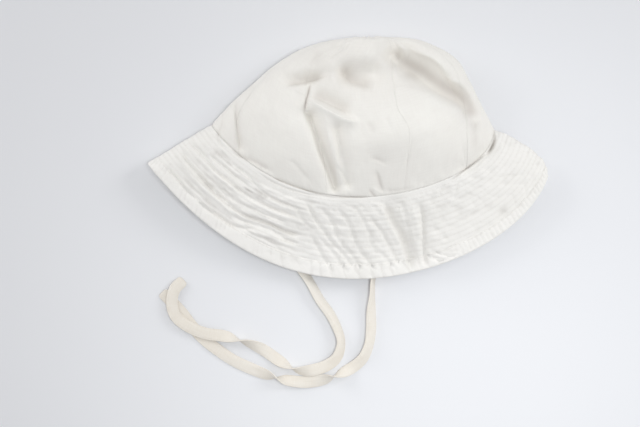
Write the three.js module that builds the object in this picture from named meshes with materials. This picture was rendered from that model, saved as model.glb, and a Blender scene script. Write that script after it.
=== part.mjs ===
import * as THREE from 'three';

// Sun hat lying on its back on a table, in millimetres. X is to the right, Y away from the viewer, Z up.
// The front of the crown and brim is the upper layer. The back is the lower layer, flat on the table.

// Main sizes
const crownHalf = 107.5; // half the crown's width, between the side folds at the brim seam
const crownRise = 70; // from the level of those folds up to the crown's far outline
const puffHigh = 54; // how high the front of the crown puffs up
const crownCentreX = 4.2; // the crown's middle line, from the brim's middle
const foldLevelY = 21.6; // level of the side folds, from the middle of the whole outline
const crownWall = 1.6;
const brimWall = 2.0;
const edgeWall = 1.2; // brim inside its binding
const bindingWall = 1.0;
const bindingGap = 0.3; // between the brim and the inside of its binding
const bindingShare = 0.84; // where the binding starts, as a share of the brim's width
const seamGap = 1; // between two gores
const brimGap = 1.4; // between the crown and the brim
const brimWide = 66; // along the cloth, at the front
const goreHigh = 155; // along the cloth, from the apex to the brim seam
const tipShare = 0.014; // how far from the apex the gores stop
const tapeWide = 9.2;
const tapeThick = 1.2;

// Facets
const goreSteps = 20;
const roundSteps = 66;
const brimStations = [0, 0.17, 0.34, 0.5, 0.66, 0.79, bindingShare, 0.93, 1]; // shares of the brim's width
const tapeSteps = 70;

// Sections of the crown, from the apex (at 0) to the brim seam (at 1).
// left, right: side folds, share of crownHalf; leftUp, rightUp: their place, share of crownRise.
// dip, backDip: how far the middle of the upper and lower layer lies below the line of the folds.
// fullLeft, fullRight: power of the plan curve, 1 is an ellipse and 2 is pointed.
// high: upper layer's middle; liftLeft, liftRight: the folds' heights; all shares of puffHigh.
// nose: radius of the folded edge, mm; flat: share of the lower layer that is flat.
// backUp: lower layer above the table; swell: extra height of the upper layer at the left, mm;
// corner: how round the plan curve is where it meets the folds.
const crownRows = [
  { at: 0, left: 0.107, leftUp: 0.965, right: 0.107, rightUp: 0.965, dip: 0, backDip: 0,
    fullLeft: 1, fullRight: 1, high: 0.26, liftLeft: 0.26, liftRight: 0.26,
    nose: 0.2, flat: 0, backUp: 0.245, swell: 0, corner: 0.05 },
  { at: 0.1, left: -0.02, leftUp: 0.975, right: 0.235, rightUp: 0.985, dip: -0.01, backDip: 0.05,
    fullLeft: 1, fullRight: 1, high: 0.52, liftLeft: 0.26, liftRight: 0.3,
    nose: 2.5, flat: 0, backUp: 0.06, swell: 0, corner: 0.05 },
  { at: 0.17, left: -0.12, leftUp: 0.965, right: 0.325, rightUp: 0.985, dip: 0.015, backDip: 0.12,
    fullLeft: 1.1, fullRight: 1, high: 0.69, liftLeft: 0.24, liftRight: 0.33,
    nose: 4, flat: 0.3, backUp: 0.015, swell: 0, corner: 0.05 },
  { at: 0.25, left: -0.215, leftUp: 0.94, right: 0.415, rightUp: 0.974, dip: 0.14, backDip: 0.21,
    fullLeft: 1.2, fullRight: 1, high: 0.78, liftLeft: 0.22, liftRight: 0.37,
    nose: 5, flat: 0.6, backUp: 0, swell: 0, corner: 0.05 },
  { at: 0.4, left: -0.408, leftUp: 0.836, right: 0.587, rightUp: 0.891, dip: 0.34, backDip: 0.38,
    fullLeft: 1.3, fullRight: 1, high: 0.83, liftLeft: 0.2, liftRight: 0.4,
    nose: 6, flat: 0.7, backUp: 0, swell: 0, corner: 0.05 },
  { at: 0.55, left: -0.573, leftUp: 0.671, right: 0.738, rightUp: 0.733, dip: 0.49, backDip: 0.48,
    fullLeft: 1.4, fullRight: 1, high: 0.92, liftLeft: 0.19, liftRight: 0.37,
    nose: 6, flat: 0.75, backUp: 0, swell: 0, corner: 0.05 },
  { at: 0.7, left: -0.721, leftUp: 0.471, right: 0.831, rightUp: 0.492, dip: 0.59, backDip: 0.55,
    fullLeft: 1.5, fullRight: 1, high: 0.96, liftLeft: 0.17, liftRight: 0.31,
    nose: 6, flat: 0.75, backUp: 0, swell: 0, corner: 0.05 },
  { at: 0.85, left: -0.87, leftUp: 0.27, right: 0.918, rightUp: 0.242, dip: 0.685, backDip: 0.62,
    fullLeft: 1.6, fullRight: 1, high: 0.85, liftLeft: 0.15, liftRight: 0.24,
    nose: 5.5, flat: 0.75, backUp: 0, swell: 0, corner: 0.05 },
  { at: 1, left: -1.003, leftUp: 0.044, right: 1.003, rightUp: -0.011, dip: 0.754, backDip: 0.677,
    fullLeft: 1.7, fullRight: 1.05, high: 0.63, liftLeft: 0.135, liftRight: 0.17,
    nose: 5, flat: 0.75, backUp: 0, swell: 0, corner: 0.05 },
];

// The same columns for the brim, from the seam (at 0) to the outer edge (at 1)
const brimRows = [
  { at: 0, left: -1.003, leftUp: 0.044, right: 1.003, rightUp: -0.011, dip: 0.754, backDip: 0.677,
    fullLeft: 1.7, fullRight: 1.05, high: 0.63, liftLeft: 0.135, liftRight: 0.17,
    nose: 5, flat: 0.75, backUp: 0, swell: 0, corner: 0.05 },
  { at: 0.3, left: -1.139, leftUp: -0.077, right: 1.146, rightUp: -0.11, dip: 0.883, backDip: 0.786,
    fullLeft: 1.75, fullRight: 1.05, high: 0.5, liftLeft: 0.14, liftRight: 0.165,
    nose: 5.5, flat: 0.75, backUp: 0, swell: 2, corner: 0.12 },
  { at: 0.6, left: -1.275, leftUp: -0.204, right: 1.289, rightUp: -0.253, dip: 1.015, backDip: 0.894,
    fullLeft: 1.8, fullRight: 1.05, high: 0.335, liftLeft: 0.155, liftRight: 0.165,
    nose: 6.2, flat: 0.75, backUp: 0, swell: 4, corner: 0.2 },
  { at: 0.82, left: -1.373, leftUp: -0.3, right: 1.361, rightUp: -0.385, dip: 1.11, backDip: 0.965,
    fullLeft: 1.85, fullRight: 1.05, high: 0.23, liftLeft: 0.17, liftRight: 0.175,
    nose: 6.8, flat: 0.72, backUp: 0.017, swell: 5.5, corner: 0.25 },
  { at: 1, left: -1.451, leftUp: -0.374, right: 1.379, rightUp: -0.506, dip: 1.177, backDip: 1,
    fullLeft: 1.9, fullRight: 1.05, high: 0.185, liftLeft: 0.175, liftRight: 0.18,
    nose: 7, flat: 0.7, backUp: 0.017, swell: 7, corner: 0.25 },
];

// Where the gore seams run, in degrees round each section: 0 is the front's middle, 90 the right fold,
// 180 the back's middle and -90 the left fold.
const seamRows = [
  { at: 0, left: -90, frontLeft: -30, frontRight: 30, right: 90, backRight: 150, backLeft: 210 },
  { at: 0.17, left: -90, frontLeft: -31, frontRight: 35, right: 88, backRight: 150, backLeft: 210 },
  { at: 0.25, left: -88, frontLeft: -50, frontRight: 31, right: 85, backRight: 150, backLeft: 210 },
  { at: 0.33, left: -86, frontLeft: -57, frontRight: 25, right: 82, backRight: 149, backLeft: 211 },
  { at: 0.4, left: -85, frontLeft: -52, frontRight: 21, right: 80, backRight: 149, backLeft: 211 },
  { at: 0.55, left: -82, frontLeft: -40, frontRight: 19, right: 75, backRight: 148, backLeft: 212 },
  { at: 0.7, left: -77, frontLeft: -24, frontRight: 25, right: 68, backRight: 147, backLeft: 213 },
  { at: 0.85, left: -69, frontLeft: -15, frontRight: 23, right: 59, backRight: 145, backLeft: 214 },
  { at: 1, left: -53, frontLeft: -11, frontRight: 20.5, right: 52, backRight: 144, backLeft: 214 },
];

// Dents (rise below 0) and ridges of the upper layer, each along a line from x1, y1 to x2, y2.
// x is a share of crownHalf from the crown's middle, y a share of crownRise from the fold level.
// wide and rise are in mm.
const folds = [
  { name: 'valley', x1: 0.31, y1: 0.81, x2: 0.84, y2: 0.3, wide: 13, rise: -13 },
  { name: 'top dent', x1: -0.06, y1: 0.57, x2: 0.14, y2: 0.59, wide: 9, rise: -7 },
  { name: 'long fold', x1: -0.3, y1: 0.13, x2: -0.13, y2: -0.62, wide: 5, rise: -6 },
  { name: 'second fold', x1: -0.11, y1: -0.01, x2: -0.04, y2: -0.58, wide: 4.5, rise: -4 },
  { name: 'pinch across', x1: -0.46, y1: 0.51, x2: -0.2, y2: 0.58, wide: 6, rise: -4.5 },
  { name: 'pinch down', x1: -0.3, y1: 0.48, x2: -0.35, y2: 0.2, wide: 6.5, rise: -3.5 },
  { name: 'front bulge', x1: 0.34, y1: 0, x2: 0.68, y2: -0.1, wide: 26, rise: 8 },
  { name: 'top bulge', x1: 0.09, y1: 0.81, x2: 0.19, y2: 0.81, wide: 12, rise: 4 },
  { name: 'gap at the right', x1: 0.79, y1: -0.43, x2: 0.97, y2: -0.2, wide: 5, rise: -4 },
  { name: 'left crease', x1: -0.84, y1: 0.28, x2: -0.8, y2: -0.18, wide: 5, rise: -2.5 },
  { name: 'rim ridge', x1: 0.52, y1: 0.86, x2: 0.84, y2: 0.42, wide: 6, rise: 4 },
  { name: 'brim valley', x1: 0.25, y1: -0.81, x2: 0.42, y2: -1.5, wide: 9, rise: -2.8 },
  { name: 'brim crease', x1: 0.49, y1: -0.93, x2: 0.51, y2: -1.4, wide: 6, rise: -2 },
];

// Route of each tie's middle line, from where it is sewn inside the hat, over the back of the brim,
// down to the table. Each point is x, y and the height of the tape's middle.
const leftTieRoute = [
  [-80.3, 7.7, 3.6], [-78.5, -5.4, 3.7], [-73.5, -23.1, 3.8], [-64.3, -40, 4], [-54.3, -56.2, 4.9],
  [-44.3, -71.6, 5.8], [-37.3, -81.6, 5.6], [-34.3, -87, 4.4], [-28.9, -95.5, 2.2], [-21.2, -109.3, 0.9],
  [-13.5, -120.1, 0.9], [-8.1, -130.9, 1.3], [-5, -141.7, 2.7], [-8.1, -153.2, 3.2], [-15.8, -159.4, 3.2],
  [-27.3, -163.2, 3.2], [-38.9, -163.2, 3.1], [-52, -156.3, 1.7], [-65.8, -147.1, 0.9], [-80.5, -140.9, 1.7],
  [-94.3, -137.1, 3.2], [-109.7, -134.8, 3.2], [-122.8, -129.4, 3.2], [-132.1, -121.7, 3.2],
  [-135.1, -111.7, 3.2], [-132.8, -100.9, 2.9], [-125.9, -93.9, 1.5],
];
const rightTieRoute = [
  [84.3, 6.2, 3.8], [82.2, -9.2, 3.8], [76.2, -24.6, 3.8], [66.6, -40, 4], [53.5, -54.7, 4.7],
  [40.4, -68.5, 5.8], [28.9, -80.9, 5.8], [20.5, -90.5, 3.8], [18.9, -105.5, 1.4], [18.1, -118.6, 1.2],
  [18.1, -130.9, 1.1], [16.6, -143.2, 1.1], [11.9, -154, 1.1], [4.2, -160.9, 1.1], [-5, -165.6, 1.1],
  [-17.3, -170.2, 1.1], [-32, -172.5, 1.1], [-46.6, -170.9, 1.1], [-61.2, -167.1, 1.1], [-75.1, -161.7, 1.1],
  [-88.2, -155.5, 1.1], [-99.7, -147.8, 1.1], [-111.3, -138.6, 1.1], [-119.7, -129.4, 1.1],
  [-127.4, -119.4, 1.1], [-135.1, -110.9, 1.1], [-142.8, -103.2, 1.3],
];

// Smooth interpolation of one column of a table, which never overshoots its rows
function columnAt(rows, name, at) {
  const last = rows.length - 1;
  let i = 0;
  while (i < last - 1 && at > rows[i + 1].at) i += 1;
  const slope = (k) => (rows[k + 1][name] - rows[k][name]) / (rows[k + 1].at - rows[k].at);
  const tangent = (k) => {
    if (k === 0) return slope(0);
    if (k === last) return slope(last - 1);
    const before = slope(k - 1);
    const after = slope(k);
    if (before * after <= 0) return 0;
    const w1 = 2 * (rows[k + 1].at - rows[k].at) + (rows[k].at - rows[k - 1].at);
    const w2 = (rows[k + 1].at - rows[k].at) + 2 * (rows[k].at - rows[k - 1].at);
    return (w1 + w2) / (w1 / before + w2 / after);
  };
  const step = rows[i + 1].at - rows[i].at;
  const t = (at - rows[i].at) / step;
  const a = rows[i][name];
  const b = rows[i + 1][name];
  const t2 = t * t;
  const t3 = t2 * t;
  return a * (2 * t3 - 3 * t2 + 1) + tangent(i) * step * (t3 - 2 * t2 + t)
    + b * (3 * t2 - 2 * t3) + tangent(i + 1) * step * (t3 - t2);
}

function sectionAt(rows, at) {
  const section = {};
  for (const name of Object.keys(rows[0])) {
    if (name !== 'at') section[name] = columnAt(rows, name, at);
  }
  return section;
}

// Height that the folds add to the upper layer at x, y: a bell across each line, round at its ends
function foldHeight(x, y) {
  let sum = 0;
  for (const f of folds) {
    const x1 = crownCentreX + f.x1 * crownHalf;
    const y1 = foldLevelY + f.y1 * crownRise;
    const dx = crownCentreX + f.x2 * crownHalf - x1;
    const dy = foldLevelY + f.y2 * crownRise - y1;
    const k = THREE.MathUtils.clamp(((x - x1) * dx + (y - y1) * dy) / (dx * dx + dy * dy), 0, 1);
    const away = Math.hypot(x - x1 - k * dx, y - y1 - k * dy) / f.wide;
    sum += f.rise * Math.exp(-away * away);
  }
  return sum;
}

// Point of the middle of the cloth, at an angle round the section and a share along the table
function clothPoint(rows, wall, degrees, at) {
  const s = sectionAt(rows, at);
  const angle = THREE.MathUtils.degToRad(degrees);
  const across = Math.sin(angle);
  const depth = Math.cos(angle);
  const near = Math.abs(depth);
  const upper = depth > 0;
  const side = (1 + across) / 2;
  const half = (s.right - s.left) / 2 * crownHalf;
  const x = crownCentreX + (s.right + s.left) / 2 * crownHalf + half * across;
  const full = THREE.MathUtils.lerp(s.fullLeft, s.fullRight, side);
  const least = Math.pow(s.corner, full);
  const plump = (Math.pow(near * near + s.corner * s.corner, full / 2) - least)
    / (Math.pow(1 + s.corner * s.corner, full / 2) - least);
  const dip = (upper ? s.dip : s.backDip) * plump;
  const y = foldLevelY + crownRise * (THREE.MathUtils.lerp(s.leftUp, s.rightUp, side) - dip);
  const lift = THREE.MathUtils.lerp(s.liftLeft, s.liftRight, side) * puffHigh;
  const inwards = Math.min(1, (1 - Math.abs(across)) * half / s.nose);
  const round = s.nose * Math.sqrt(1 - (1 - inwards) * (1 - inwards));
  let z;
  if (upper) {
    z = lift + round + (s.high * puffHigh - lift - s.nose) * Math.pow(near, 0.85);
    z += s.swell * Math.exp(-Math.pow((THREE.MathUtils.euclideanModulo(degrees + 180, 360) - 130) / 28, 2));
    z += foldHeight(x, y) * Math.min(1, near * 2.2) * Math.min(1, at * 6 + (rows === brimRows ? 1 : 0));
  } else {
    const floor = wall / 2 + s.backUp * puffHigh;
    const rise = Math.max(0, (Math.abs(across) - s.flat) / (1 - s.flat));
    z = floor + (lift - round - floor) * rise * rise;
  }
  return new THREE.Vector3(x, y, z);
}

// The cloth's outward direction
function clothNormal(rows, wall, degrees, at) {
  const turn = 0.8;
  const step = 0.006;
  const low = Math.max(0.002, at - step);
  const high = Math.min(1, at + step);
  const along = clothPoint(rows, wall, degrees, high).sub(clothPoint(rows, wall, degrees, low));
  const round = clothPoint(rows, wall, degrees + turn, at).sub(clothPoint(rows, wall, degrees - turn, at));
  return along.cross(round).normalize();
}

// Point at a distance out of the cloth's middle; past the outer edge it goes on along the cloth
function offsetPoint(rows, wall, degrees, at, out) {
  const inside = Math.min(at, 1);
  const normal = clothNormal(rows, wall, degrees, inside);
  const point = clothPoint(rows, wall, degrees, inside);
  if (at > 1) {
    const round = clothPoint(rows, wall, degrees + 0.8, 1).sub(clothPoint(rows, wall, degrees - 0.8, 1));
    point.addScaledVector(round.cross(normal).normalize(), (at - 1) * brimWide);
  }
  return point.addScaledVector(normal, out);
}

function meshOf(name, colour, corners, faces) {
  const geometry = new THREE.BufferGeometry();
  const places = corners.flatMap((p) => [p.x, p.y, p.z]);
  geometry.setAttribute('position', new THREE.Float32BufferAttribute(places, 3));
  geometry.setIndex(faces);
  geometry.computeVertexNormals();
  const mesh = new THREE.Mesh(geometry, new THREE.MeshStandardMaterial({ color: colour, roughness: 0.9 }));
  mesh.name = name;
  return mesh;
}

// A sheet of cloth with a wall, on a grid of rows by columns; closed rows join their last column to the first
function shellMesh(name, colour, rowCount, columnCount, closed, pointAt) {
  const corners = [];
  for (const face of [1, -1]) {
    for (let i = 0; i <= rowCount; i += 1) {
      for (let j = 0; j < columnCount + (closed ? 0 : 1); j += 1) corners.push(pointAt(i, j, face));
    }
  }
  const wide = columnCount + (closed ? 0 : 1);
  const layer = (rowCount + 1) * wide;
  const id = (face, i, j) => face * layer + i * wide + (j % wide);
  const faces = [];
  const quad = (a, b, c, d) => faces.push(a, b, c, a, c, d);
  for (let i = 0; i < rowCount; i += 1) {
    for (let j = 0; j < columnCount; j += 1) {
      quad(id(0, i, j), id(0, i + 1, j), id(0, i + 1, j + 1), id(0, i, j + 1));
      quad(id(1, i, j), id(1, i, j + 1), id(1, i + 1, j + 1), id(1, i + 1, j));
    }
  }
  for (let j = 0; j < columnCount; j += 1) {
    quad(id(0, 0, j), id(0, 0, j + 1), id(1, 0, j + 1), id(1, 0, j));
    quad(id(0, rowCount, j + 1), id(0, rowCount, j), id(1, rowCount, j), id(1, rowCount, j + 1));
  }
  if (!closed) {
    for (let i = 0; i < rowCount; i += 1) {
      quad(id(0, i + 1, 0), id(0, i, 0), id(1, i, 0), id(1, i + 1, 0));
      quad(id(0, i, columnCount), id(0, i + 1, columnCount), id(1, i + 1, columnCount), id(1, i, columnCount));
    }
  }
  return meshOf(name, colour, corners, faces);
}

// One gore: its columns run between two seams, spaced evenly in angle
function goreMesh(name, from, to, columnCount) {
  const last = 1 - brimGap / 2 / goreHigh;
  const seamAngle = (seam, at) => columnAt(seamRows, seam, at) + (seam === 'left' && from === 'backLeft' ? 360 : 0);
  const shift = (degrees, at) => {
    const span = clothPoint(crownRows, crownWall, degrees + 1, at)
      .distanceTo(clothPoint(crownRows, crownWall, degrees - 1, at)) / 2;
    return Math.min(8, seamGap / 2 / Math.max(span, 0.02));
  };
  return shellMesh(name, clothColour, goreSteps, columnCount, false, (i, j, face) => {
    const at = tipShare + (last - tipShare) * Math.pow(i / goreSteps, 1.12);
    const first = seamAngle(from, at);
    const second = seamAngle(to, at);
    const start = first + shift(first, at);
    const end = second - shift(second, at);
    const degrees = start + (end - start) * j / columnCount;
    return offsetPoint(crownRows, crownWall, degrees, at, face * crownWall / 2);
  });
}

// Angles round the brim, closer together at the side folds
function brimDegrees(j) {
  const turn = 360 * j / roundSteps;
  return turn + 10 * Math.sin(THREE.MathUtils.degToRad(2 * turn));
}

const clothColour = 0xedece8;
const brimColour = 0xe4e3e1;
const tapeColour = 0xe9e2d6;

function brimMesh() {
  return shellMesh('brim', brimColour, brimStations.length - 1, roundSteps, true, (i, j, face) => {
    const at = Math.max(brimStations[i], brimGap / 2 / brimWide);
    const thin = THREE.MathUtils.smoothstep(at, bindingShare - 0.1, bindingShare - 0.015);
    const wall = THREE.MathUtils.lerp(brimWall, edgeWall, thin);
    return offsetPoint(brimRows, brimWall, brimDegrees(j), at, face * wall / 2);
  });
}

// The binding: a folded band whose section goes out over the brim, round its edge and back
function bindingMesh() {
  const inner = edgeWall / 2 + bindingGap;
  const outer = inner + bindingWall;
  const tip = 1 + bindingGap / brimWide;
  const end = tip + bindingWall / brimWide;
  const profile = [
    [bindingShare, outer], [0.93, outer], [1, outer], [end, outer * 0.4], [end, -outer * 0.4], [1, -outer],
    [0.93, -outer], [bindingShare, -outer], [bindingShare, -inner], [0.93, -inner], [tip, -inner], [tip, inner],
    [0.93, inner], [bindingShare, inner],
  ];
  const corners = [];
  const faces = [];
  for (let j = 0; j < roundSteps; j += 1) {
    for (const [at, out] of profile) corners.push(offsetPoint(brimRows, brimWall, brimDegrees(j), at, out));
  }
  const count = profile.length;
  for (let j = 0; j < roundSteps; j += 1) {
    const next = (j + 1) % roundSteps;
    for (let k = 0; k < count; k += 1) {
      const m = (k + 1) % count;
      const a = j * count + k;
      const b = j * count + m;
      const c = next * count + m;
      const d = next * count + k;
      // the same diagonals as the brim's, so that the two stay parallel
      if (profile[m][0] > profile[k][0]) faces.push(a, b, c, a, c, d);
      else faces.push(a, b, d, b, c, d);
    }
  }
  return meshOf('brim_binding', brimColour, corners, faces);
}

// A tie: a flat tape with rounded edges along its route
function tieMesh(name, route) {
  const path = new THREE.CatmullRomCurve3(route.map((p) => new THREE.Vector3(...p)), false, 'centripetal');
  const half = tapeWide / 2;
  const thick = tapeThick / 2;
  const shape = new THREE.Shape([
    new THREE.Vector2(-thick, half - 1), new THREE.Vector2(-thick * 0.4, half),
    new THREE.Vector2(thick * 0.4, half), new THREE.Vector2(thick, half - 1),
    new THREE.Vector2(thick, 1 - half), new THREE.Vector2(thick * 0.4, -half),
    new THREE.Vector2(-thick * 0.4, -half), new THREE.Vector2(-thick, 1 - half),
  ]);
  const geometry = new THREE.ExtrudeGeometry(shape, { steps: tapeSteps, extrudePath: path, bevelEnabled: false });
  const mesh = new THREE.Mesh(geometry, new THREE.MeshStandardMaterial({ color: tapeColour, roughness: 0.9 }));
  mesh.name = name;
  return mesh;
}

const group = new THREE.Group();
group.name = 'sun_hat';
group.add(goreMesh('crown_front', 'frontLeft', 'frontRight', 11));
group.add(goreMesh('crown_front_left', 'left', 'frontLeft', 9));
group.add(goreMesh('crown_front_right', 'frontRight', 'right', 9));
group.add(goreMesh('crown_back_right', 'right', 'backRight', 12));
group.add(goreMesh('crown_back', 'backRight', 'backLeft', 4));
group.add(goreMesh('crown_back_left', 'backLeft', 'left', 12));
group.add(brimMesh());
group.add(bindingMesh());
group.add(tieMesh('tie_left', leftTieRoute));
group.add(tieMesh('tie_right', rightTieRoute));

// The origin is under the middle of the hat without its ties
const hatBox = new THREE.Box3();
for (const mesh of group.children) {
  if (!mesh.name.startsWith('tie')) hatBox.expandByObject(mesh);
}
const middle = hatBox.getCenter(new THREE.Vector3());
group.position.set(-middle.x, -middle.y, -hatBox.min.z);

export default group;
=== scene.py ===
import math

import bpy
import numpy as np
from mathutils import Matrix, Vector


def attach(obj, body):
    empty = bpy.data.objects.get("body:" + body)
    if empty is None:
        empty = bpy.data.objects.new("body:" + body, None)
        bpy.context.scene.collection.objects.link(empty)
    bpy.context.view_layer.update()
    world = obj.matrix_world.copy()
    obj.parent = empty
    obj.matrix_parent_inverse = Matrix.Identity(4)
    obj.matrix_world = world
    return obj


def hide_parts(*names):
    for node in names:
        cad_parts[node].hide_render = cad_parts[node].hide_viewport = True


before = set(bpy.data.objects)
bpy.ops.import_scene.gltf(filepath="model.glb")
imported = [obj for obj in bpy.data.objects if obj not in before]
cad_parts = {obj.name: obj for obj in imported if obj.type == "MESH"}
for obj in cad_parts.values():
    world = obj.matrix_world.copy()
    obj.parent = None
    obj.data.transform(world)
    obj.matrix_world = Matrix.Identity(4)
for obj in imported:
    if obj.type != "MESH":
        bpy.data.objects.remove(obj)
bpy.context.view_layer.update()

# Shapes are worked out in millimetres round the hat's own middle, then moved by hatShift and turned to metres
hatShift = np.array([-0.494, 0.642, 0.0])


def toMetres(points):
    return (np.asarray(points, dtype=float) + hatShift) / 1000


# Camera
viewSizes = {"lens": 150.0, "pixel": 0.77, "wide": 640, "high": 427, "centreX": -21.7, "centreY": -42.1,
             "sensor": 36.0}


def cameraHigh(sizes):
    # the height in mm at which a pixel on the table is sizes["pixel"] mm
    return sizes["pixel"] * sizes["wide"] * sizes["lens"] / sizes["sensor"]


def makeCamera(sizes):
    # straight above the picture's middle
    data = bpy.data.cameras.new("camera")
    data.lens = sizes["lens"]
    data.sensor_width = sizes["sensor"]
    data.clip_end = 20
    camera = bpy.data.objects.new("camera", data)
    camera.location = (sizes["centreX"] / 1000, sizes["centreY"] / 1000, cameraHigh(sizes) / 1000)
    bpy.context.scene.collection.objects.link(camera)
    bpy.context.scene.camera = camera


makeCamera(viewSizes)
print("camera placed")


# Small tools
def ease(value, low, high):
    # 0 below low, 1 above high, and a smooth S between them
    t = np.clip((value - low) / (high - low), 0, 1)
    return t * t * (3 - 2 * t)


def latticeNoise(u, v, seed):
    # smooth random heights from -1 to 1: the four corner values of a square lattice, blended with an S curve
    corners = np.random.default_rng(seed).uniform(-1, 1, (97, 89))
    i = np.floor(u).astype(int)
    j = np.floor(v).astype(int)
    a = ease(u - i, 0, 1)
    b = ease(v - j, 0, 1)

    def corner(p, q):
        return corners[(i + p) % 97, (j + q) % 89]

    low = corner(0, 0) * (1 - a) + corner(1, 0) * a
    high = corner(0, 1) * (1 - a) + corner(1, 1) * a
    return low * (1 - b) + high * b


def runAlong(line):
    # distance from a line's first point to each of its points
    return np.concatenate([[0], np.cumsum(np.linalg.norm(np.diff(line, axis=0), axis=1))])


def unit(vectors):
    # the same directions at length 1
    return vectors / np.linalg.norm(vectors, axis=-1)[..., None]


def smoothPath(points, count):
    # Catmull-Rom curve through the points, its knots spaced by the root of each step, cut in equal lengths;
    # also gives each station's place among the points, as a share of their count
    p = np.asarray(points, dtype=float)
    p = np.vstack([2 * p[0] - p[1], p, 2 * p[-1] - p[-2]])
    gap = np.sqrt(np.linalg.norm(np.diff(p, axis=0), axis=1))[:, None]
    speed = np.diff(p, axis=0) / gap
    tangent = speed[:-1] - (p[2:] - p[:-2]) / (gap[:-1] + gap[1:]) + speed[1:]
    t = np.linspace(0, 1, 25)[:-1][None, :, None]
    a = p[1:-2][:, None]
    b = p[2:-1][:, None]
    ma = (tangent[:-1] * gap[1:-1])[:, None]
    mb = (tangent[1:] * gap[1:-1])[:, None]
    curve = (a * (2 * t**3 - 3 * t**2 + 1) + ma * (t**3 - 2 * t**2 + t)
             + b * (3 * t**2 - 2 * t**3) + mb * (t**3 - t**2))
    curve = np.vstack([curve.reshape(-1, p.shape[1]), p[-2]])
    place = np.linspace(0, len(points) - 1, len(curve))
    along = runAlong(curve)
    even = np.linspace(0, along[-1], count)
    stations = np.stack([np.interp(even, along, curve[:, k]) for k in range(p.shape[1])], axis=1)
    return stations, np.interp(even, along, place), along[-1]


def makeObject(name, points, faces, uv=None, shadeAmount=None, smoothFaces=None):
    # a mesh from points in millimetres and faces of any size, with a cloth map in metres; faces after the
    # first smoothFaces are left flat, so that cloth shades evenly up to its cut edges
    mesh = bpy.data.meshes.new(name)
    mesh.from_pydata(toMetres(points).tolist(), [], faces)
    order = np.arange(len(mesh.polygons))
    mesh.polygons.foreach_set("use_smooth", order < (len(order) if smoothFaces is None else smoothFaces))
    if uv is not None:
        corner = np.empty(len(mesh.loops), dtype=np.int32)
        mesh.loops.foreach_get("vertex_index", corner)
        layer = mesh.uv_layers.new(name="clothMap")
        layer.data.foreach_set("uv", (np.asarray(uv)[corner] / 1000).astype(np.float32).ravel())
    # per-point amount of painted shade, laid into the cloth's creases, seams and hollows
    if shadeAmount is not None:
        mesh.attributes.new("paintedCreaseShade", "FLOAT", "POINT").data.foreach_set("value", shadeAmount.astype(np.float32))
    mesh.update()
    piece = bpy.data.objects.new(name, mesh)
    bpy.context.scene.collection.objects.link(piece)
    return piece


def gridFaces(rows, columns, start, closed, turned):
    # quads of a grid of points that starts at a given number; closed joins the last column to the first
    i, j = np.meshgrid(np.arange(rows - 1), np.arange(columns if closed else columns - 1), indexing="ij")
    a = start + i * columns + j
    b = start + (i + 1) * columns + j
    c = start + (i + 1) * columns + (j + 1) % columns
    d = start + i * columns + (j + 1) % columns
    order = (a, d, c, b) if turned else (a, b, c, d)
    return np.stack([k.ravel() for k in order], axis=1)


def shellFaces(rows, columns, closed):
    # outer and inner grid and the strips that join their open edges
    layer = rows * columns
    faces = [gridFaces(rows, columns, 0, closed, False), gridFaces(rows, columns, layer, closed, True)]
    j = np.arange(columns if closed else columns - 1)
    k = (j + 1) % columns
    last = (rows - 1) * columns
    faces.append(np.stack([j, k, layer + k, layer + j], axis=1))
    faces.append(np.stack([last + k, last + j, layer + last + j, layer + last + k], axis=1))
    if not closed:
        i = np.arange(rows - 1) * columns
        end = i + columns - 1
        faces.append(np.stack([i + columns, i, layer + i, layer + i + columns], axis=1))
        faces.append(np.stack([end, end + columns, layer + end + columns, layer + end], axis=1))
    return np.vstack(faces).tolist()


# Ties
tieSizes = {"wide": 9.2, "thick": 1.2, "stations": 300, "around": 36, "peak": 0.35, "floorGap": 0.12}

# Each row: x, y, height of the tape's middle, roll in degrees, arch across the tape in mm
leftTieRoute = [
    (-80.3, 7.7, 3.6, 0, 0), (-78.5, -5.4, 3.7, 0, 0), (-73.5, -23.1, 3.8, 0, 0), (-64.3, -40, 4, 0, 0),
    (-54.3, -56.2, 4.9, 0, 0), (-44.3, -71.6, 5.8, 0, 0), (-37.3, -81.6, 5.6, 10, 0.3),
    (-34.3, -87, 4.4, 36, 0.8), (-28.9, -95.5, 2.2, 42, 1.2), (-21.2, -109.3, 0.9, 34, 1.6),
    (-13.5, -120.1, 0.9, 30, 2), (-8.1, -130.9, 1.3, 38, 2.3), (-5, -141.7, 2.7, 46, 2.2),
    (-8.1, -153.2, 3.2, 22, 1.2), (-15.8, -159.4, 3.2, 6, 0.4), (-27.3, -163.2, 3.2, 0, 0),
    (-38.9, -163.2, 3.1, 60, 0), (-52, -156.3, 1.7, 165, 0), (-65.8, -147.1, 0.9, 185, -0.5),
    (-80.5, -140.9, 1.7, 250, 0), (-94.3, -137.1, 3.2, 352, 0), (-109.7, -134.8, 3.2, 362, 0.3),
    (-122.8, -129.4, 3.2, 358, 0.4), (-132.1, -121.7, 3.2, 350, 0.7), (-135.1, -111.7, 3.2, 352, 0.7),
    (-132.8, -100.9, 2.9, 356, 0.4), (-125.9, -93.9, 1.5, 360, 0.2),
]
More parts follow.
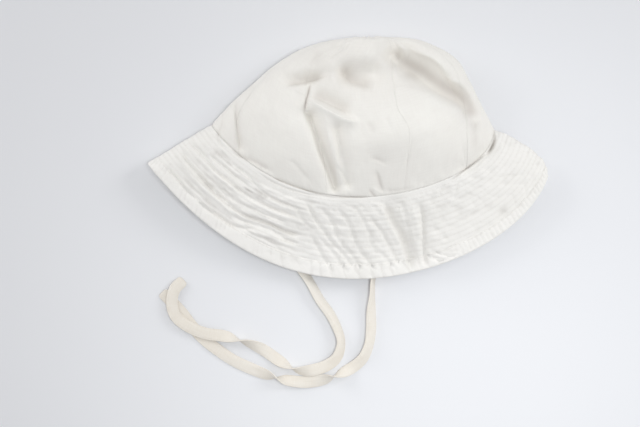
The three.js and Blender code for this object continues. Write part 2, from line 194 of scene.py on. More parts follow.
rightTieRoute = [
    (84.3, 6.2, 3.8, 0, 0), (82.2, -9.2, 3.8, 0, 0), (76.2, -24.6, 3.8, 0, 0), (66.6, -40, 4, 0, 0),
    (53.5, -54.7, 4.7, 0, 0), (40.4, -68.5, 5.8, 0, 0), (28.9, -80.9, 5.8, 25, 0),
    (20.5, -90.5, 3.8, 72, 0), (18.9, -105.5, 1.4, 66, 0.6), (18.1, -118.6, 1.2, 34, 1.6),
    (18.1, -130.9, 1.1, 22, 2.2), (16.6, -143.2, 1.1, 34, 2), (11.9, -154, 1.1, 22, 1),
    (4.2, -160.9, 1.1, 8, 0.4), (-5, -165.6, 1.1, -40, 0), (-17.3, -170.2, 1.1, -158, 0),
    (-32, -172.5, 1.1, -182, -0.4), (-46.6, -170.9, 1.1, -200, -0.2), (-61.2, -167.1, 1.1, -330, 0),
    (-75.1, -161.7, 1.1, -358, 0.4), (-88.2, -155.5, 1.1, -352, 0.5), (-99.7, -147.8, 1.1, -362, 0),
    (-111.3, -138.6, 1.1, -360, 0), (-119.7, -129.4, 1.1, -360, 0), (-127.4, -119.4, 1.1, -360, 0),
    (-135.1, -110.9, 1.1, -360, 0), (-142.8, -103.2, 1.3, -352, 0),
]


def makeTie(name, route, sizes):
    # A flattened round section is carried along the route. Across it, u goes from -1 to 1; the tape's middle
    # line bends up by arch times 1 minus the square of the distance from the peak; the section then rolls
    # round the route, is lifted clear of the table, and narrows to a rounded, closed end.
    rows = np.array(route, dtype=float)
    centre, place, length = smoothPath(rows[:, :3], sizes["stations"])
    knots = np.arange(len(rows))
    roll = np.radians(np.interp(place, knots, rows[:, 3]))
    arch = np.interp(place, knots, rows[:, 4])
    kernel = np.hanning(13) / np.hanning(13).sum()
    roll = np.convolve(np.pad(roll, 6, mode="edge"), kernel, mode="valid")
    arch = np.convolve(np.pad(arch, 6, mode="edge"), kernel, mode="valid")
    ahead = unit(np.gradient(centre, axis=0))
    side = unit(np.cross(ahead, (0, 0, 1)))
    above = np.cross(side, ahead)
    across = np.cos(roll)[:, None] * side + np.sin(roll)[:, None] * above
    out = -np.sin(roll)[:, None] * side + np.cos(roll)[:, None] * above
    angle = np.linspace(0, 2 * math.pi, sizes["around"], endpoint=False)
    u = np.sign(np.cos(angle)) * np.abs(np.cos(angle)) ** 0.45
    face = np.sign(np.sin(angle)) * np.abs(np.sin(angle)) ** 0.7
    bead = 1 + 0.22 * np.exp(-(((np.abs(u) - 0.93) / 0.06) ** 2)) - 0.3 * np.exp(-(((np.abs(u) - 0.8) / 0.05) ** 2))
    distance = np.linspace(0, length, sizes["stations"])
    wave = 0.18 * latticeNoise(distance[:, None] / 7 + 0 * u, u[None, :] * 1.3 + 5, 31)
    near = np.minimum(distance, length - distance)
    trim = np.sqrt(np.clip(1 - (1 - np.clip((near + 0.35) / 3.2, 0, 1)) ** 2, 0, 1))
    reach = np.where(u > sizes["peak"], 1 - sizes["peak"], 1 + sizes["peak"])
    bend = 1 - ((u - sizes["peak"]) / reach) ** 2
    wide = sizes["wide"] / 2 * (1 - 0.03 * np.abs(arch)) * (0.25 + 0.75 * trim)
    level = sizes["thick"] / 2 * face * bead + wave * np.abs(face)
    level = level * np.clip(trim + 0.4, 0, 1)[:, None] + arch[:, None] * bend
    points = (centre[:, None, :] + across[:, None, :] * (wide[:, None] * u)[..., None]
              + out[:, None, :] * level[..., None])
    lift = np.maximum(0, sizes["floorGap"] - points[..., 2].min(axis=1))
    lift = np.maximum(lift, np.convolve(np.pad(lift, 4, mode="edge"), np.ones(9) / 9, mode="valid"))
    points[..., 2] += lift[:, None]
    centre[:, 2] += lift
    stations, around = points.shape[:2]
    faces = gridFaces(stations, around, 0, True, False).tolist()
    faces.append(list(range(around)))
    faces.append(list(range(stations * around - 1, (stations - 1) * around - 1, -1)))
    uv = np.stack([np.repeat(distance, around), np.tile(u * sizes["wide"] / 2, stations)], axis=1)
    piece = makeObject(name, points.reshape(-1, 3), faces, uv)
    return piece, toMetres(centre), length / 1000


tiePieces = {}
for tieName, tieRoute, tieNode in (("leftTie", leftTieRoute, "tie_left"), ("rightTie", rightTieRoute, "tie_right")):
    tiePiece, tiePath, tieLength = makeTie(tieName, tieRoute, tieSizes)
    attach(tiePiece, "root")
    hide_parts(tieNode)
    tiePieces[tieName] = tiePiece
    print(tieName, "laid,", round(tieLength * 1000), "mm")


# The cloth's shape, shared by crown and brim
clothSizes = {
    "crownHalf": 107.5, "crownRise": 70.0, "puffHigh": 54.0, "crownCentreX": 4.2, "foldLevelY": 21.6,
    "crownWall": 1.6, "brimWall": 2.0, "goreHigh": 155.0, "brimWide": 66.0,
    "tableGap": 0.02, "normalTurn": 0.8,
}
columnNames = ("at", "left", "leftUp", "right", "rightUp", "dip", "backDip", "fullLeft", "fullRight",
               "high", "liftLeft", "liftRight", "nose", "flat", "backUp", "swell", "corner")
# Sections of the crown from its top, at 0, to the brim seam, at 1, with the columns above.
# Side folds and dips are shares of the crown's half width and rise; heights are shares of the puff.
crownRows = np.array([
    (0, .107, .965, .107, .965, 0, 0, 1, 1, .26, .26, .26, .2, 0, .245, 0, .05),
    (.1, -.02, .975, .235, .985, -.01, .05, 1, 1, .52, .26, .3, 2.5, 0, .06, 0, .05),
    (.17, -.12, .965, .325, .985, .015, .12, 1.1, 1, .69, .24, .33, 4, .3, .015, 0, .05),
    (.25, -.215, .94, .415, .974, .14, .21, 1.2, 1, .78, .22, .37, 5, .6, 0, 0, .05),
    (.4, -.408, .836, .587, .891, .34, .38, 1.3, 1, .83, .2, .4, 6, .7, 0, 0, .05),
    (.55, -.573, .671, .738, .733, .49, .48, 1.4, 1, .92, .19, .37, 6, .75, 0, 0, .05),
    (.7, -.721, .471, .831, .492, .59, .55, 1.5, 1, .96, .17, .31, 6, .75, 0, 0, .05),
    (.85, -.87, .27, .918, .242, .685, .62, 1.6, 1, .85, .15, .24, 5.5, .75, 0, 0, .05),
    (1, -1.003, .044, 1.003, -.011, .754, .677, 1.7, 1.05, .63, .135, .17, 5, .75, 0, 0, .05),
])
# The same columns for the brim, from the seam, at 0, to the outer edge, at 1
brimRows = np.array([
    (0, -1.003, .044, 1.003, -.011, .754, .677, 1.7, 1.05, .63, .135, .17, 5, .75, 0, 0, .05),
    (.3, -1.139, -.077, 1.146, -.11, .883, .786, 1.75, 1.05, .5, .14, .165, 5.5, .75, 0, 2, .12),
    (.6, -1.275, -.204, 1.289, -.253, 1.015, .894, 1.8, 1.05, .335, .155, .165, 6.2, .75, 0, 4, .2),
    (.82, -1.373, -.3, 1.361, -.385, 1.11, .965, 1.85, 1.05, .23, .17, .175, 6.8, .72, .017, 5.5, .25),
    (1, -1.451, -.374, 1.379, -.506, 1.177, 1, 1.9, 1.05, .185, .175, .18, 7, .7, .017, 7, .25),
])
# Where the seams between gores run, in degrees round each section: 0 is the front's middle, 90 the right fold
seamNames = ("at", "left", "frontLeft", "frontRight", "right", "backRight", "backLeft")
seamRows = np.array([
    (0, -90, -30, 30, 90, 150, 210), (.17, -90, -31, 35, 88, 150, 210), (.25, -88, -50, 31, 85, 150, 210),
    (.33, -86, -57, 25, 82, 149, 211), (.4, -85, -52, 21, 80, 149, 211), (.55, -82, -40, 19, 75, 148, 212),
    (.7, -77, -24, 25, 68, 147, 213), (.85, -69, -15, 23, 59, 145, 214), (1, -53, -11, 20.5, 52, 144, 214),
])


def columnAt(table, names, name, at):
    # one column between its rows: a cubic whose slope at a row is the weighted harmonic mean of the slopes
    # on both sides, and 0 at a turning point, so it never overshoots
    knots = table[:, 0]
    values = table[:, names.index(name)]
    step = np.diff(knots)
    slope = np.diff(values) / step
    before, after = slope[:-1], slope[1:]
    w1 = 2 * step[1:] + step[:-1]
    w2 = step[1:] + 2 * step[:-1]
    same = before * after > 0
    inner = np.where(same, (w1 + w2) / (w1 / np.where(same, before, 1) + w2 / np.where(same, after, 1)), 0)
    tangent = np.concatenate([[slope[0]], inner, [slope[-1]]])
    i = np.clip(np.searchsorted(knots, at, side="left") - 1, 0, len(step) - 1)
    t = (at - knots[i]) / step[i]
    return (values[i] * (2 * t**3 - 3 * t**2 + 1) + tangent[i] * step[i] * (t**3 - 2 * t**2 + t)
            + values[i + 1] * (3 * t**2 - 2 * t**3) + tangent[i + 1] * step[i] * (t**3 - t**2))


# Broad dents (rise below 0) and bulges of the upper layer: x1, y1, x2, y2 as shares, width and rise in mm
broadFolds = [
    (.31, .81, .84, .3, 13, -13), (-.06, .57, .14, .59, 9, -7), (-.3, .13, -.13, -.62, 5, -6),
    (-.11, -.01, -.04, -.58, 4.5, -4), (-.46, .51, -.2, .58, 6, -4.5), (-.3, .48, -.35, .2, 6.5, -3.5),
    (.34, 0, .68, -.1, 26, 8), (.09, .81, .19, .81, 12, 4), (.79, -.43, .97, -.2, 5, -4),
    (-.84, .28, -.8, -.18, 5, -2.5), (.52, .86, .84, .42, 6, 4), (.25, -.81, .42, -1.5, 9, -2.8),
    (.49, -.93, .51, -1.4, 6, -2),
]


def broadHeight(x, y, sizes):
    # sum of bells across straight lines, round at the lines' ends
    total = np.zeros_like(x)
    for x1, y1, x2, y2, wide, rise in broadFolds:
        startX = sizes["crownCentreX"] + x1 * sizes["crownHalf"]
        startY = sizes["foldLevelY"] + y1 * sizes["crownRise"]
        dx = (x2 - x1) * sizes["crownHalf"]
        dy = (y2 - y1) * sizes["crownRise"]
        k = np.clip(((x - startX) * dx + (y - startY) * dy) / (dx * dx + dy * dy), 0, 1)
        away = np.hypot(x - startX - k * dx, y - startY - k * dy) / wide
        total += rise * np.exp(-away * away)
    return total


def clothPoint(table, wall, degrees, at, sizes):
    # Middle of the cloth. The plan is a section between two side folds with rounded corners; the upper
    # layer rises from the folds over a nose of its own radius, the lower one lies flat and rises at its sides.
    def column(name):
        return columnAt(table, columnNames, name, at)

    angle = np.radians(degrees)
    across = np.sin(angle)
    depth = np.cos(angle)
    near = np.abs(depth)
    upper = depth > 0
    side = (1 + across) / 2
    left, right, nose, corner = column("left"), column("right"), column("nose"), column("corner")
    half = (right - left) / 2 * sizes["crownHalf"]
    x = sizes["crownCentreX"] + (right + left) / 2 * sizes["crownHalf"] + half * across
    full = column("fullLeft") * (1 - side) + column("fullRight") * side
    least = corner**full
    plump = ((near**2 + corner**2) ** (full / 2) - least) / ((1 + corner**2) ** (full / 2) - least)
    dip = np.where(upper, column("dip"), column("backDip")) * plump
    up = column("leftUp") * (1 - side) + column("rightUp") * side
    y = sizes["foldLevelY"] + sizes["crownRise"] * (up - dip)
    lift = (column("liftLeft") * (1 - side) + column("liftRight") * side) * sizes["puffHigh"]
    inwards = np.minimum(1, (1 - np.abs(across)) * half / nose)
    turn = nose * np.sqrt(np.clip(1 - (1 - inwards) ** 2, 0, 1))
    swell = column("swell") * np.exp(-((((degrees + 180) % 360 - 130) / 28) ** 2))
    fade = np.minimum(1, at * 6 + (table is brimRows))
    top = lift + turn + (column("high") * sizes["puffHigh"] - lift - nose) * near**0.85 + swell
    top = top + broadHeight(x, y, sizes) * np.minimum(1, near * 2.2) * fade
    floor = wall / 2 + column("backUp") * sizes["puffHigh"]
    flat = column("flat")
    rise = np.maximum(0, (np.abs(across) - flat) / (1 - flat))
    bottom = floor + (lift - turn - floor) * rise**2
    return np.stack([x, y, np.where(upper, top, bottom)], axis=-1)


def clothNormal(table, wall, degrees, at, sizes):
    # cross product of a short step along the cloth and one round it
    low = np.maximum(0.002, at - 0.006)
    high = np.minimum(1, at + 0.006)
    along = clothPoint(table, wall, degrees, high, sizes) - clothPoint(table, wall, degrees, low, sizes)
    turn = sizes["normalTurn"]
    around = clothPoint(table, wall, degrees + turn, at, sizes) - clothPoint(table, wall, degrees - turn, at, sizes)
    return unit(np.cross(along, around))


def upperShare(degrees):
    # 1 on the upper layer, falling to 0 at the side folds and below them
    return ease(np.cos(np.radians(degrees)), 0.02, 0.3)


def makeShell(name, outer, inner, u, v, shadeAmount, closed):
    # the two faces of a cloth wall as one closed mesh, kept just above the table; only the outer face gets painted
    # shade
    rows, columns = shadeAmount.shape
    points = np.concatenate([outer.reshape(-1, 3), inner.reshape(-1, 3)])
    points[:, 2] = np.maximum(points[:, 2], clothSizes["tableGap"])
    uv = np.stack([u, v], axis=-1).reshape(-1, 2)
    smoothFaces = 2 * (rows - 1) * (columns if closed else columns - 1)
    return makeObject(name, points, shellFaces(rows, columns, closed), np.vstack([uv, uv]),
                      np.concatenate([shadeAmount.ravel(), 0 * shadeAmount.ravel()]), smoothFaces)


# Creases of the upper layer, read off the photograph. Each row: name; height above the table, mm; width of
# the slopes on the line's left and right as it is walked, mm; rise, mm; sharp, 1 for a pressed edge to 2 for a
# soft bell; painted shade in the crease, from 0 over a greyed 0.5 to a browned 1; then the line, in places of the 640
# by 427 picture
creaseSizes = {"crown": 0.6, "brim": 1.0, "shadeAmount": 0.6, "fadeOver": 9.0}
crownCreases = [
    ("pinch across", 42, 4.4, 1, -6.4, 1.5, 0.5, [(284, 86), (298, 84.5), (309, 82), (317, 79.5), (328, 76)]),
    ("pinch's shade", 42, 2.6, 2.6, 0, 2, 0.3, [(293, 83), (303, 80), (313, 79), (323, 78)]),
    ("pinch down", 42, 1, 0.9, -3.4, 1.4, 0.6, [(311, 80), (309, 90), (306.5, 100), (305, 108), (304, 117)]),
    ("ridge under the pinch", 45, 1.8, 4.4, 8, 1.3, 0,
     [(305, 99), (316, 104), (323, 108), (330, 112), (340, 117), (350, 121), (362, 123)]),
    ("hollow above the ridge", 45, 7.4, 1.8, -8.5, 1.7, 0.4,
     [(309, 93), (320, 99), (332, 105), (342, 110), (352, 115)]),
    ("wrinkle left of the pinch", 40, 1.2, 1.2, 1.2, 1.5, 0, [(293, 89), (299, 92), (304, 96)]),
    ("soft ridge at the left", 38, 4.5, 3.4, 2.6, 1.2, 0, [(312, 48), (311, 56), (306, 65), (299, 71), (293, 78)]),
    ("hollow beside it", 38, 4, 4, -1.8, 2, 0.22, [(322, 48), (316, 60), (313, 70)]),
    ("seam's ridge at the top", 34, 1.5, 1.5, 1, 1.2, 0, [(350, 40), (343, 48), (332, 54), (320, 63)]),
    ("seam's groove at the top", 34, 1, 1, -1.3, 1.4, 0.1, [(353, 40), (345, 50), (335, 56), (324, 63)]),
    ("dome's left flank", 40, 6, 4, 3.4, 1.6, 0, [(333, 58), (332, 72), (336, 84), (346, 90)]),
    ("dome's crown", 38, 9, 9, 2, 2, 0, [(360, 52), (372, 56), (384, 66)]),
    ("dent", 41, 6.4, 3, -6.8, 1.9, 0.42, [(339, 63), (343, 72), (350, 80), (360, 85), (375, 88)]),
    ("dent's tail", 42, 2.6, 2.6, -1.4, 2, 0, [(361, 88), (360, 97), (361, 106)]),
    ("bulge below the dent", 44, 6, 6, 1.6, 2, 0, [(344, 96), (356, 110), (372, 106)]),
    ("edge by the valley", 38, 2, 2, 1.8, 1.6, 0, [(390, 56), (394, 62), (396, 70), (393, 82)]),
    ("pleat at the top, left", 32, 1.8, 1.8, -1, 1.8, 0, [(352, 40), (350, 52)]),
    ("pleat at the top, middle", 32, 1.8, 1.8, -1, 1.8, 0, [(369, 41), (370, 52), (368, 62)]),
    ("pleat at the top, right", 32, 1.8, 1.8, -1.2, 1.8, 0, [(381, 41), (382, 54), (380, 64)]),
    ("bank left of the long fold", 42, 1.6, 5, 1.4, 1.6, 0,
     [(287, 95), (295, 104), (302, 113), (308, 124), (312, 136), (316, 150), (321, 164), (327, 178)]),
    ("top of the long fold", 44, 4.6, 2.2, -3, 1.8, 0.24, [(303, 112), (309, 116), (314, 124)]),
    ("long fold", 44, 5.4, 1.5, -4.4, 1.8, 0.2,
     [(305, 113), (311, 124), (315, 134), (318, 146), (322, 158), (327, 170), (331.5, 181), (335.5, 195)]),
    ("ridge beside it", 45, 3, 1.3, 2, 1.4, 0,
     [(325, 112), (326.5, 126), (329, 140), (332, 152), (335, 163), (337, 176), (338.5, 193)]),
    ("second fold", 44, 2.4, 1.1, -2, 1.5, 0.06, [(334.5, 124), (336.5, 137), (338.5, 148), (338.5, 165)]),
    ("fold's branch", 42, 1.3, 1.5, -1.8, 1.5, 0, [(332, 163), (338, 168), (344, 176), (348, 184), (351, 193)]),
    ("slanting crease", 38, 1.2, 2, -2, 1.5, 0, [(286, 160), (295, 163), (301, 170), (307, 177), (312, 184)]),
    ("tuck", 38, 1.2, 2.2, -2.4, 1.5, 0.35, [(374, 168), (378, 176), (381, 186), (385, 195)]),
    ("tuck's fold", 36, 1, 1, -1.8, 1.3, 0.5, [(368, 187), (372, 193), (378, 197)]),
    ("tuck's ridge", 37, 1.1, 1.1, 1.4, 1.4, 0, [(370, 184), (376, 190), (386, 195)]),
    ("small crease", 42, 2.6, 1.2, -1.5, 1.6, 0.2, [(367, 159), (376, 159), (382, 162), (389, 165)]),
    ("shallow dent", 46, 2.8, 2.6, -1.4, 1.8, 0.12, [(367, 121), (371, 128), (374, 136)]),
    ("second shallow dent", 46, 2.4, 2.4, -1.2, 1.8, 0, [(384, 116), (388, 124), (390, 134)]),
    ("hollow by the plateau", 46, 5, 5, -1.6, 2, 0, [(384, 104), (394, 112)]),
    ("seam crease in front", 44, 0.9, 1.2, -1, 1.4, 0, [(411, 128), (410, 147), (407, 160), (403, 175)]),
    ("faint arc", 44, 2.4, 2.4, -0.8, 2, 0, [(408, 154), (415, 145), (424, 139), (436, 133)]),
    ("left crease", 20, 2.6, 1, -3, 1.5, 0.2, [(236, 95), (236.5, 108), (237.5, 122), (239.5, 137), (241, 155)]),
    ("left crease above", 28, 1.6, 1, -1.6, 1.6, 0.1, [(263, 79), (253, 90), (248, 99), (243, 108)]),
    ("left end crease", 16, 1, 1.1, -1.9, 1.4, 0.15, [(222, 112), (223, 125), (219, 134), (221, 144), (230, 151)]),
    ("base crease", 20, 1.6, 1, -1.9, 1.4, 0.35, [(229, 150), (240, 156), (250, 160), (261, 165), (275, 173)]),
    ("seam fold", 26, 0.9, 0.6, -2.1, 1.3, 0.4,
     [(270, 177), (282, 181), (292, 185), (302, 188.5), (312, 192), (322, 195), (332, 197), (348, 197), (372, 197)]),
    ("seam fold's second line", 24, 0.6, 0.6, -1.6, 1.4, 0.2,
     [(256, 171), (268, 179), (284, 187), (304, 193), (326, 197)]),
    ("seam fold at the right", 30, 1, 1, -1.4, 1.3, 0.15, [(380, 190), (392, 190), (403, 189), (416, 186)]),
    ("valley", 35, 7.6, 4.2, -12, 1.9, 0,
     [(381, 50), (395, 62), (408, 70), (420, 78), (431, 88), (443, 95), (454, 100), (463, 107), (471, 118), (475, 132)]),
    ("valley's shade", 35, 5.4, 5.4, 0, 2.2, 0.64,
     [(395, 57), (412, 65), (424, 71), (434, 79), (446, 88), (458, 95), (468, 105), (474, 122)]),
    ("valley's first hollow", 37, 4, 3, -5, 1.8, 0.5, [(393, 47), (397, 55), (402, 63)]),
    ("valley's dark corner", 36, 1.2, 1.6, -1, 1.4, 0.4, [(399, 62), (406, 59), (412, 51)]),
    ("valley's floor", 38, 6, 5, -2.5, 2, 0.3, [(400, 72), (412, 75), (424, 79)]),
    ("plateau's edge", 44, 2.6, 7, 4, 1.7, 0, [(386, 90), (400, 89), (416, 91), (434, 96), (450, 102), (464, 112)]),
    ("rim ridge", 28, 2.6, 2, 3.6, 1.6, 0, [(405, 47), (424, 55), (440, 65), (449, 79), (464, 86), (473, 98)]),
    ("dark fold at the right", 38, 2.4, 3.6, -2.2, 1.9, 0.2, [(474, 116), (474, 130), (475, 142), (474, 154)]),
    ("bright arc at the right", 42, 3.4, 3.4, 1.5, 2, 0, [(440, 116), (456, 126), (465, 138), (466, 152)]),
    ("seam crease at the right", 36, 1, 1, -1.1, 1.4, 0, [(463, 147), (464, 165)]),
    ("gap at the right", 18, 1, 0.9, -9, 1.6, 1, [(491, 125), (494, 134), (493.5, 142), (490, 150), (484, 157)]),
    ("gap's tail", 24, 0.6, 0.6, -3, 1.4, 0.6, [(489, 151), (479, 159.5), (470, 166), (461, 172), (448, 182)]),
]
brimCreases = [
    ("brim groove 1", 13, 1.2, 1.6, -2.6, 1.3, 0, [(207, 153), (218, 162), (227, 169), (238, 178), (252, 188)]),
    ("brim groove 2", 13, 1.1, 1.4, -2.3, 1.3, 0,
     [(189, 139), (197, 149), (207, 159), (215, 170), (224, 177), (235, 185), (246, 195), (260, 202), (278, 210),
      (300, 217)]),
    ("brim groove 3", 12, 1.1, 1.4, -2.2, 1.3, 0,
     [(182, 148), (186, 160), (196, 171), (206, 182), (216, 193), (228, 203), (240, 212), (252, 217), (266, 221),
      (280, 228), (292, 233), (306, 235)]),
    ("brim groove 3, deep part", 14, 1.4, 1.8, -2, 1.5, 0.3,
     [(240, 212), (256, 219), (272, 224), (288, 232), (302, 234)]),
    ("brim groove 4", 12, 1, 1.2, -1.8, 1.3, 0, [(168, 163), (173, 174), (181, 183), (190, 193), (201, 201)]),
    ("brim groove 5", 12, 1.1, 1.4, -2.3, 1.3, 0,
     [(196, 199), (208, 209), (219, 216), (230, 224), (246, 228), (258, 229)]),
    ("brim groove 6", 14, 1.1, 1.4, -2.1, 1.3, 0,
     [(228, 213), (244, 221), (258, 225), (272, 230), (286, 239), (304, 244)]),
    ("brim groove 7", 15, 1, 1.2, -1.7, 1.3, 0,
     [(229, 160), (238, 168), (250, 177), (260, 189), (272, 197), (286, 204), (304, 210)]),
    ("brim groove 8", 15, 1, 1.2, -1.5, 1.3, 0,
     [(214, 184), (228, 196), (238, 202), (252, 208), (268, 215), (290, 223)]),
    ("brim ridge 1", 13, 1.8, 1.8, 1.2, 1.8, 0, [(176, 152), (186, 168), (200, 184), (218, 200), (236, 217)]),
    ("brim ridge 2", 14, 2, 2.4, 1.6, 1.8, 0, [(244, 228), (258, 233), (272, 238), (290, 246)]),
    ("front pucker 1", 18, 1.2, 1.4, -2.1, 1.4, 0,
     [(304, 200), (311, 210), (316, 220), (324, 230), (333, 243), (346, 257), (356, 272)]),
    ("front pucker 2", 18, 1.2, 1.4, -1.8, 1.4, 0,
     [(318, 205), (326, 213), (333, 224), (337, 236), (347, 249), (355, 259), (364, 273)]),
    ("front pucker 3", 18, 1.2, 1.3, -1.9, 1.4, 0,
     [(334, 206), (342, 213), (349, 222), (353, 234), (358, 246), (366, 258), (378, 273)]),
    ("front pucker 4", 18, 1.2, 1.4, -2.1, 1.4, 0.15,
     [(367, 214), (375, 223), (382, 232), (388, 243), (393, 253), (402, 269)]),
    ("front pucker 5", 16, 1.1, 1.3, -1.8, 1.4, 0, [(309, 232), (316, 243), (322, 254), (330, 268), (334, 276)]),
    ("front pucker 6", 16, 1.1, 1.3, -1.6, 1.4, 0, [(318, 234), (325, 243), (332, 251), (341, 263), (349, 275)]),
    ("front pucker 7", 20, 1.1, 1.2, -1.3, 1.4, 0, [(352, 204), (360, 214), (367, 228), (371, 242), (378, 256)]),
    ("front pucker 8", 18, 1.1, 1.2, -1.4, 1.4, 0, [(291, 200), (297, 208), (303, 219), (312, 230)]),
    ("front pucker 9", 14, 1.1, 1.2, -1.3, 1.4, 0, [(376, 246), (384, 256), (393, 266), (399, 273)]),
    ("dimples in a row, upper", 18, 2, 2, -1.3, 1.7, 0, [(324, 222), (336, 223), (350, 227)]),
    ("dimples in a row, lower", 16, 2, 2, -1.2, 1.7, 0, [(328, 233), (338, 234), (350, 236)]),
    ("dimples by the hem", 14, 1.8, 1.8, -0.6, 1.7, 0, [(336, 251), (350, 253), (364, 253)]),
    ("brim valley", 18, 4, 1.8, -3.3, 1.6, 0.3,
     [(383, 200), (388, 214), (393, 223), (400, 233), (404, 245), (408, 258), (413, 272)]),
    ("brim valley's floor", 18, 4.5, 4.5, -1, 2, 0.24, [(398, 226), (406, 240), (413, 256), (416, 268)]),
    ("brim ridge 3", 19, 1.8, 2.2, 2, 1.5, 0,
     [(379, 201), (385, 217), (393, 231), (400, 243), (404, 256), (409, 271)]),
    ("line in the valley", 20, 1, 1.1, -1.6, 1.4, 0, [(400, 199), (405, 213), (408, 228), (412, 243), (417, 258)]),
    ("brim ridge 4", 20, 1.8, 1.8, 1.4, 1.6, 0, [(411, 202), (414, 216), (418, 228), (420, 244)]),
    ("second brim crease", 18, 1.5, 1, -2.4, 1.4, 0.16,
     [(418, 200), (421, 212), (422.5, 224), (423, 236), (424, 250), (426, 270)]),
    ("hem creases", 14, 1, 1, -1.4, 1.4, 0.06, [(423, 250), (431, 257), (443, 260), (452, 257)]),
    ("hem creases, upper", 14, 0.9, 0.9, -1.2, 1.4, 0.06, [(427, 247), (438, 253), (450, 256), (462, 253)]),
    ("right crease 1", 24, 1, 1, -1.2, 1.4, 0, [(443, 183), (440, 191), (437, 200)]),
    ("right crease 2", 22, 1, 1, -0.9, 1.4, 0, [(458, 180), (455, 192), (452, 204)]),
    ("right dimple 1", 18, 1.4, 1.4, -1, 1.6, 0, [(432, 224), (439, 233)]),
    ("right dimple 2", 18, 1.4, 1.4, -1, 1.6, 0, [(441, 230), (447, 242)]),
]


def pictureToCloth(places, height):
    # where the view ray through a place of the picture is at a height above the table: from the picture's
    # middle by the size of a pixel, less the share of the camera's height that the point stands up
    sizes = viewSizes
    offset = (np.asarray(places, dtype=float) - (sizes["wide"] / 2, sizes["high"] / 2)) * (1, -1)
    middle = np.array((sizes["centreX"], sizes["centreY"])) - hatShift[:2]
    return middle + offset * sizes["pixel"] * (1 - height / cameraHigh(sizes))


def creaseHeight(x, y):
    # for each crease, the distance of the points near it to its smoothed line; the height falls off with it
    # like a bell, with a width of its own on each side, and fades over the line's last millimetres
    height = np.zeros(x.shape)
    shadeAmount = np.zeros(x.shape)
    rows = [(row, creaseSizes["crown"]) for row in crownCreases]
    rows += [(row, creaseSizes["brim"]) for row in brimCreases]
    for (_, high, left, right, rise, sharp, paintedShade, places), strength in rows:
        line, _, length = smoothPath(pictureToCloth(places, high), 14)
        reach = 3.2 * max(left, right)
        near = ((x > line[:, 0].min() - reach) & (x < line[:, 0].max() + reach)
                & (y > line[:, 1].min() - reach) & (y < line[:, 1].max() + reach))
        if not near.any():
            continue
        start, leg = line[:-1], np.diff(line, axis=0)
        offX = x[near][:, None] - start[:, 0]
        offY = y[near][:, None] - start[:, 1]
        k = np.clip((offX * leg[:, 0] + offY * leg[:, 1]) / (leg**2).sum(axis=1), 0, 1)
        offX = offX - k * leg[:, 0]
        offY = offY - k * leg[:, 1]
        away = np.hypot(offX, offY)
        best = away.argmin(axis=1)
        row = np.arange(len(best))
        side = leg[best, 0] * offY[row, best] - leg[best, 1] * offX[row, best]
        share = (best + k[row, best]) / len(leg)
        fade = min(0.42, creaseSizes["fadeOver"] / length)
        taper = ease(share, 0, fade) * ease(1 - share, 0, fade)
        ratio = away[row, best] / np.where(side > 0, left, right)
        bell = np.exp(0.3**sharp - (ratio**2 + 0.09) ** (sharp / 2)) * taper
        height[near] += rise * strength * bell
        # painted shade along the crease, falling off with the same bell
        shadeAmount[near] = np.maximum(shadeAmount[near], paintedShade * creaseSizes["shadeAmount"] * bell)
    return height, shadeAmount


# Crown
crownSizes = {
    "steps": 176, "frontColumns": 140, "backSteps": 90, "backColumns": 80, "tip": 0.0012,
    "seamDeep": 0.035, "seamWide": 0.6, "ridgeHigh": 0.04, "ridgeAt": 1.7, "ridgeWide": 1.0,
    "baseDeep": 0.25, "wrinkle": 0.8, "wrinkleLong": 14.0, "fineWrinkle": 0.16, "fineLong": 4.2,
    "base": 0.9993, "crowding": 1.08, "gather": 0.35, "gatherWide": 2.6, "pleat": 0.9, "pleatTurn": 7.0,
    "seamShade": 0.01, "seamShadeWide": 0.7,
}


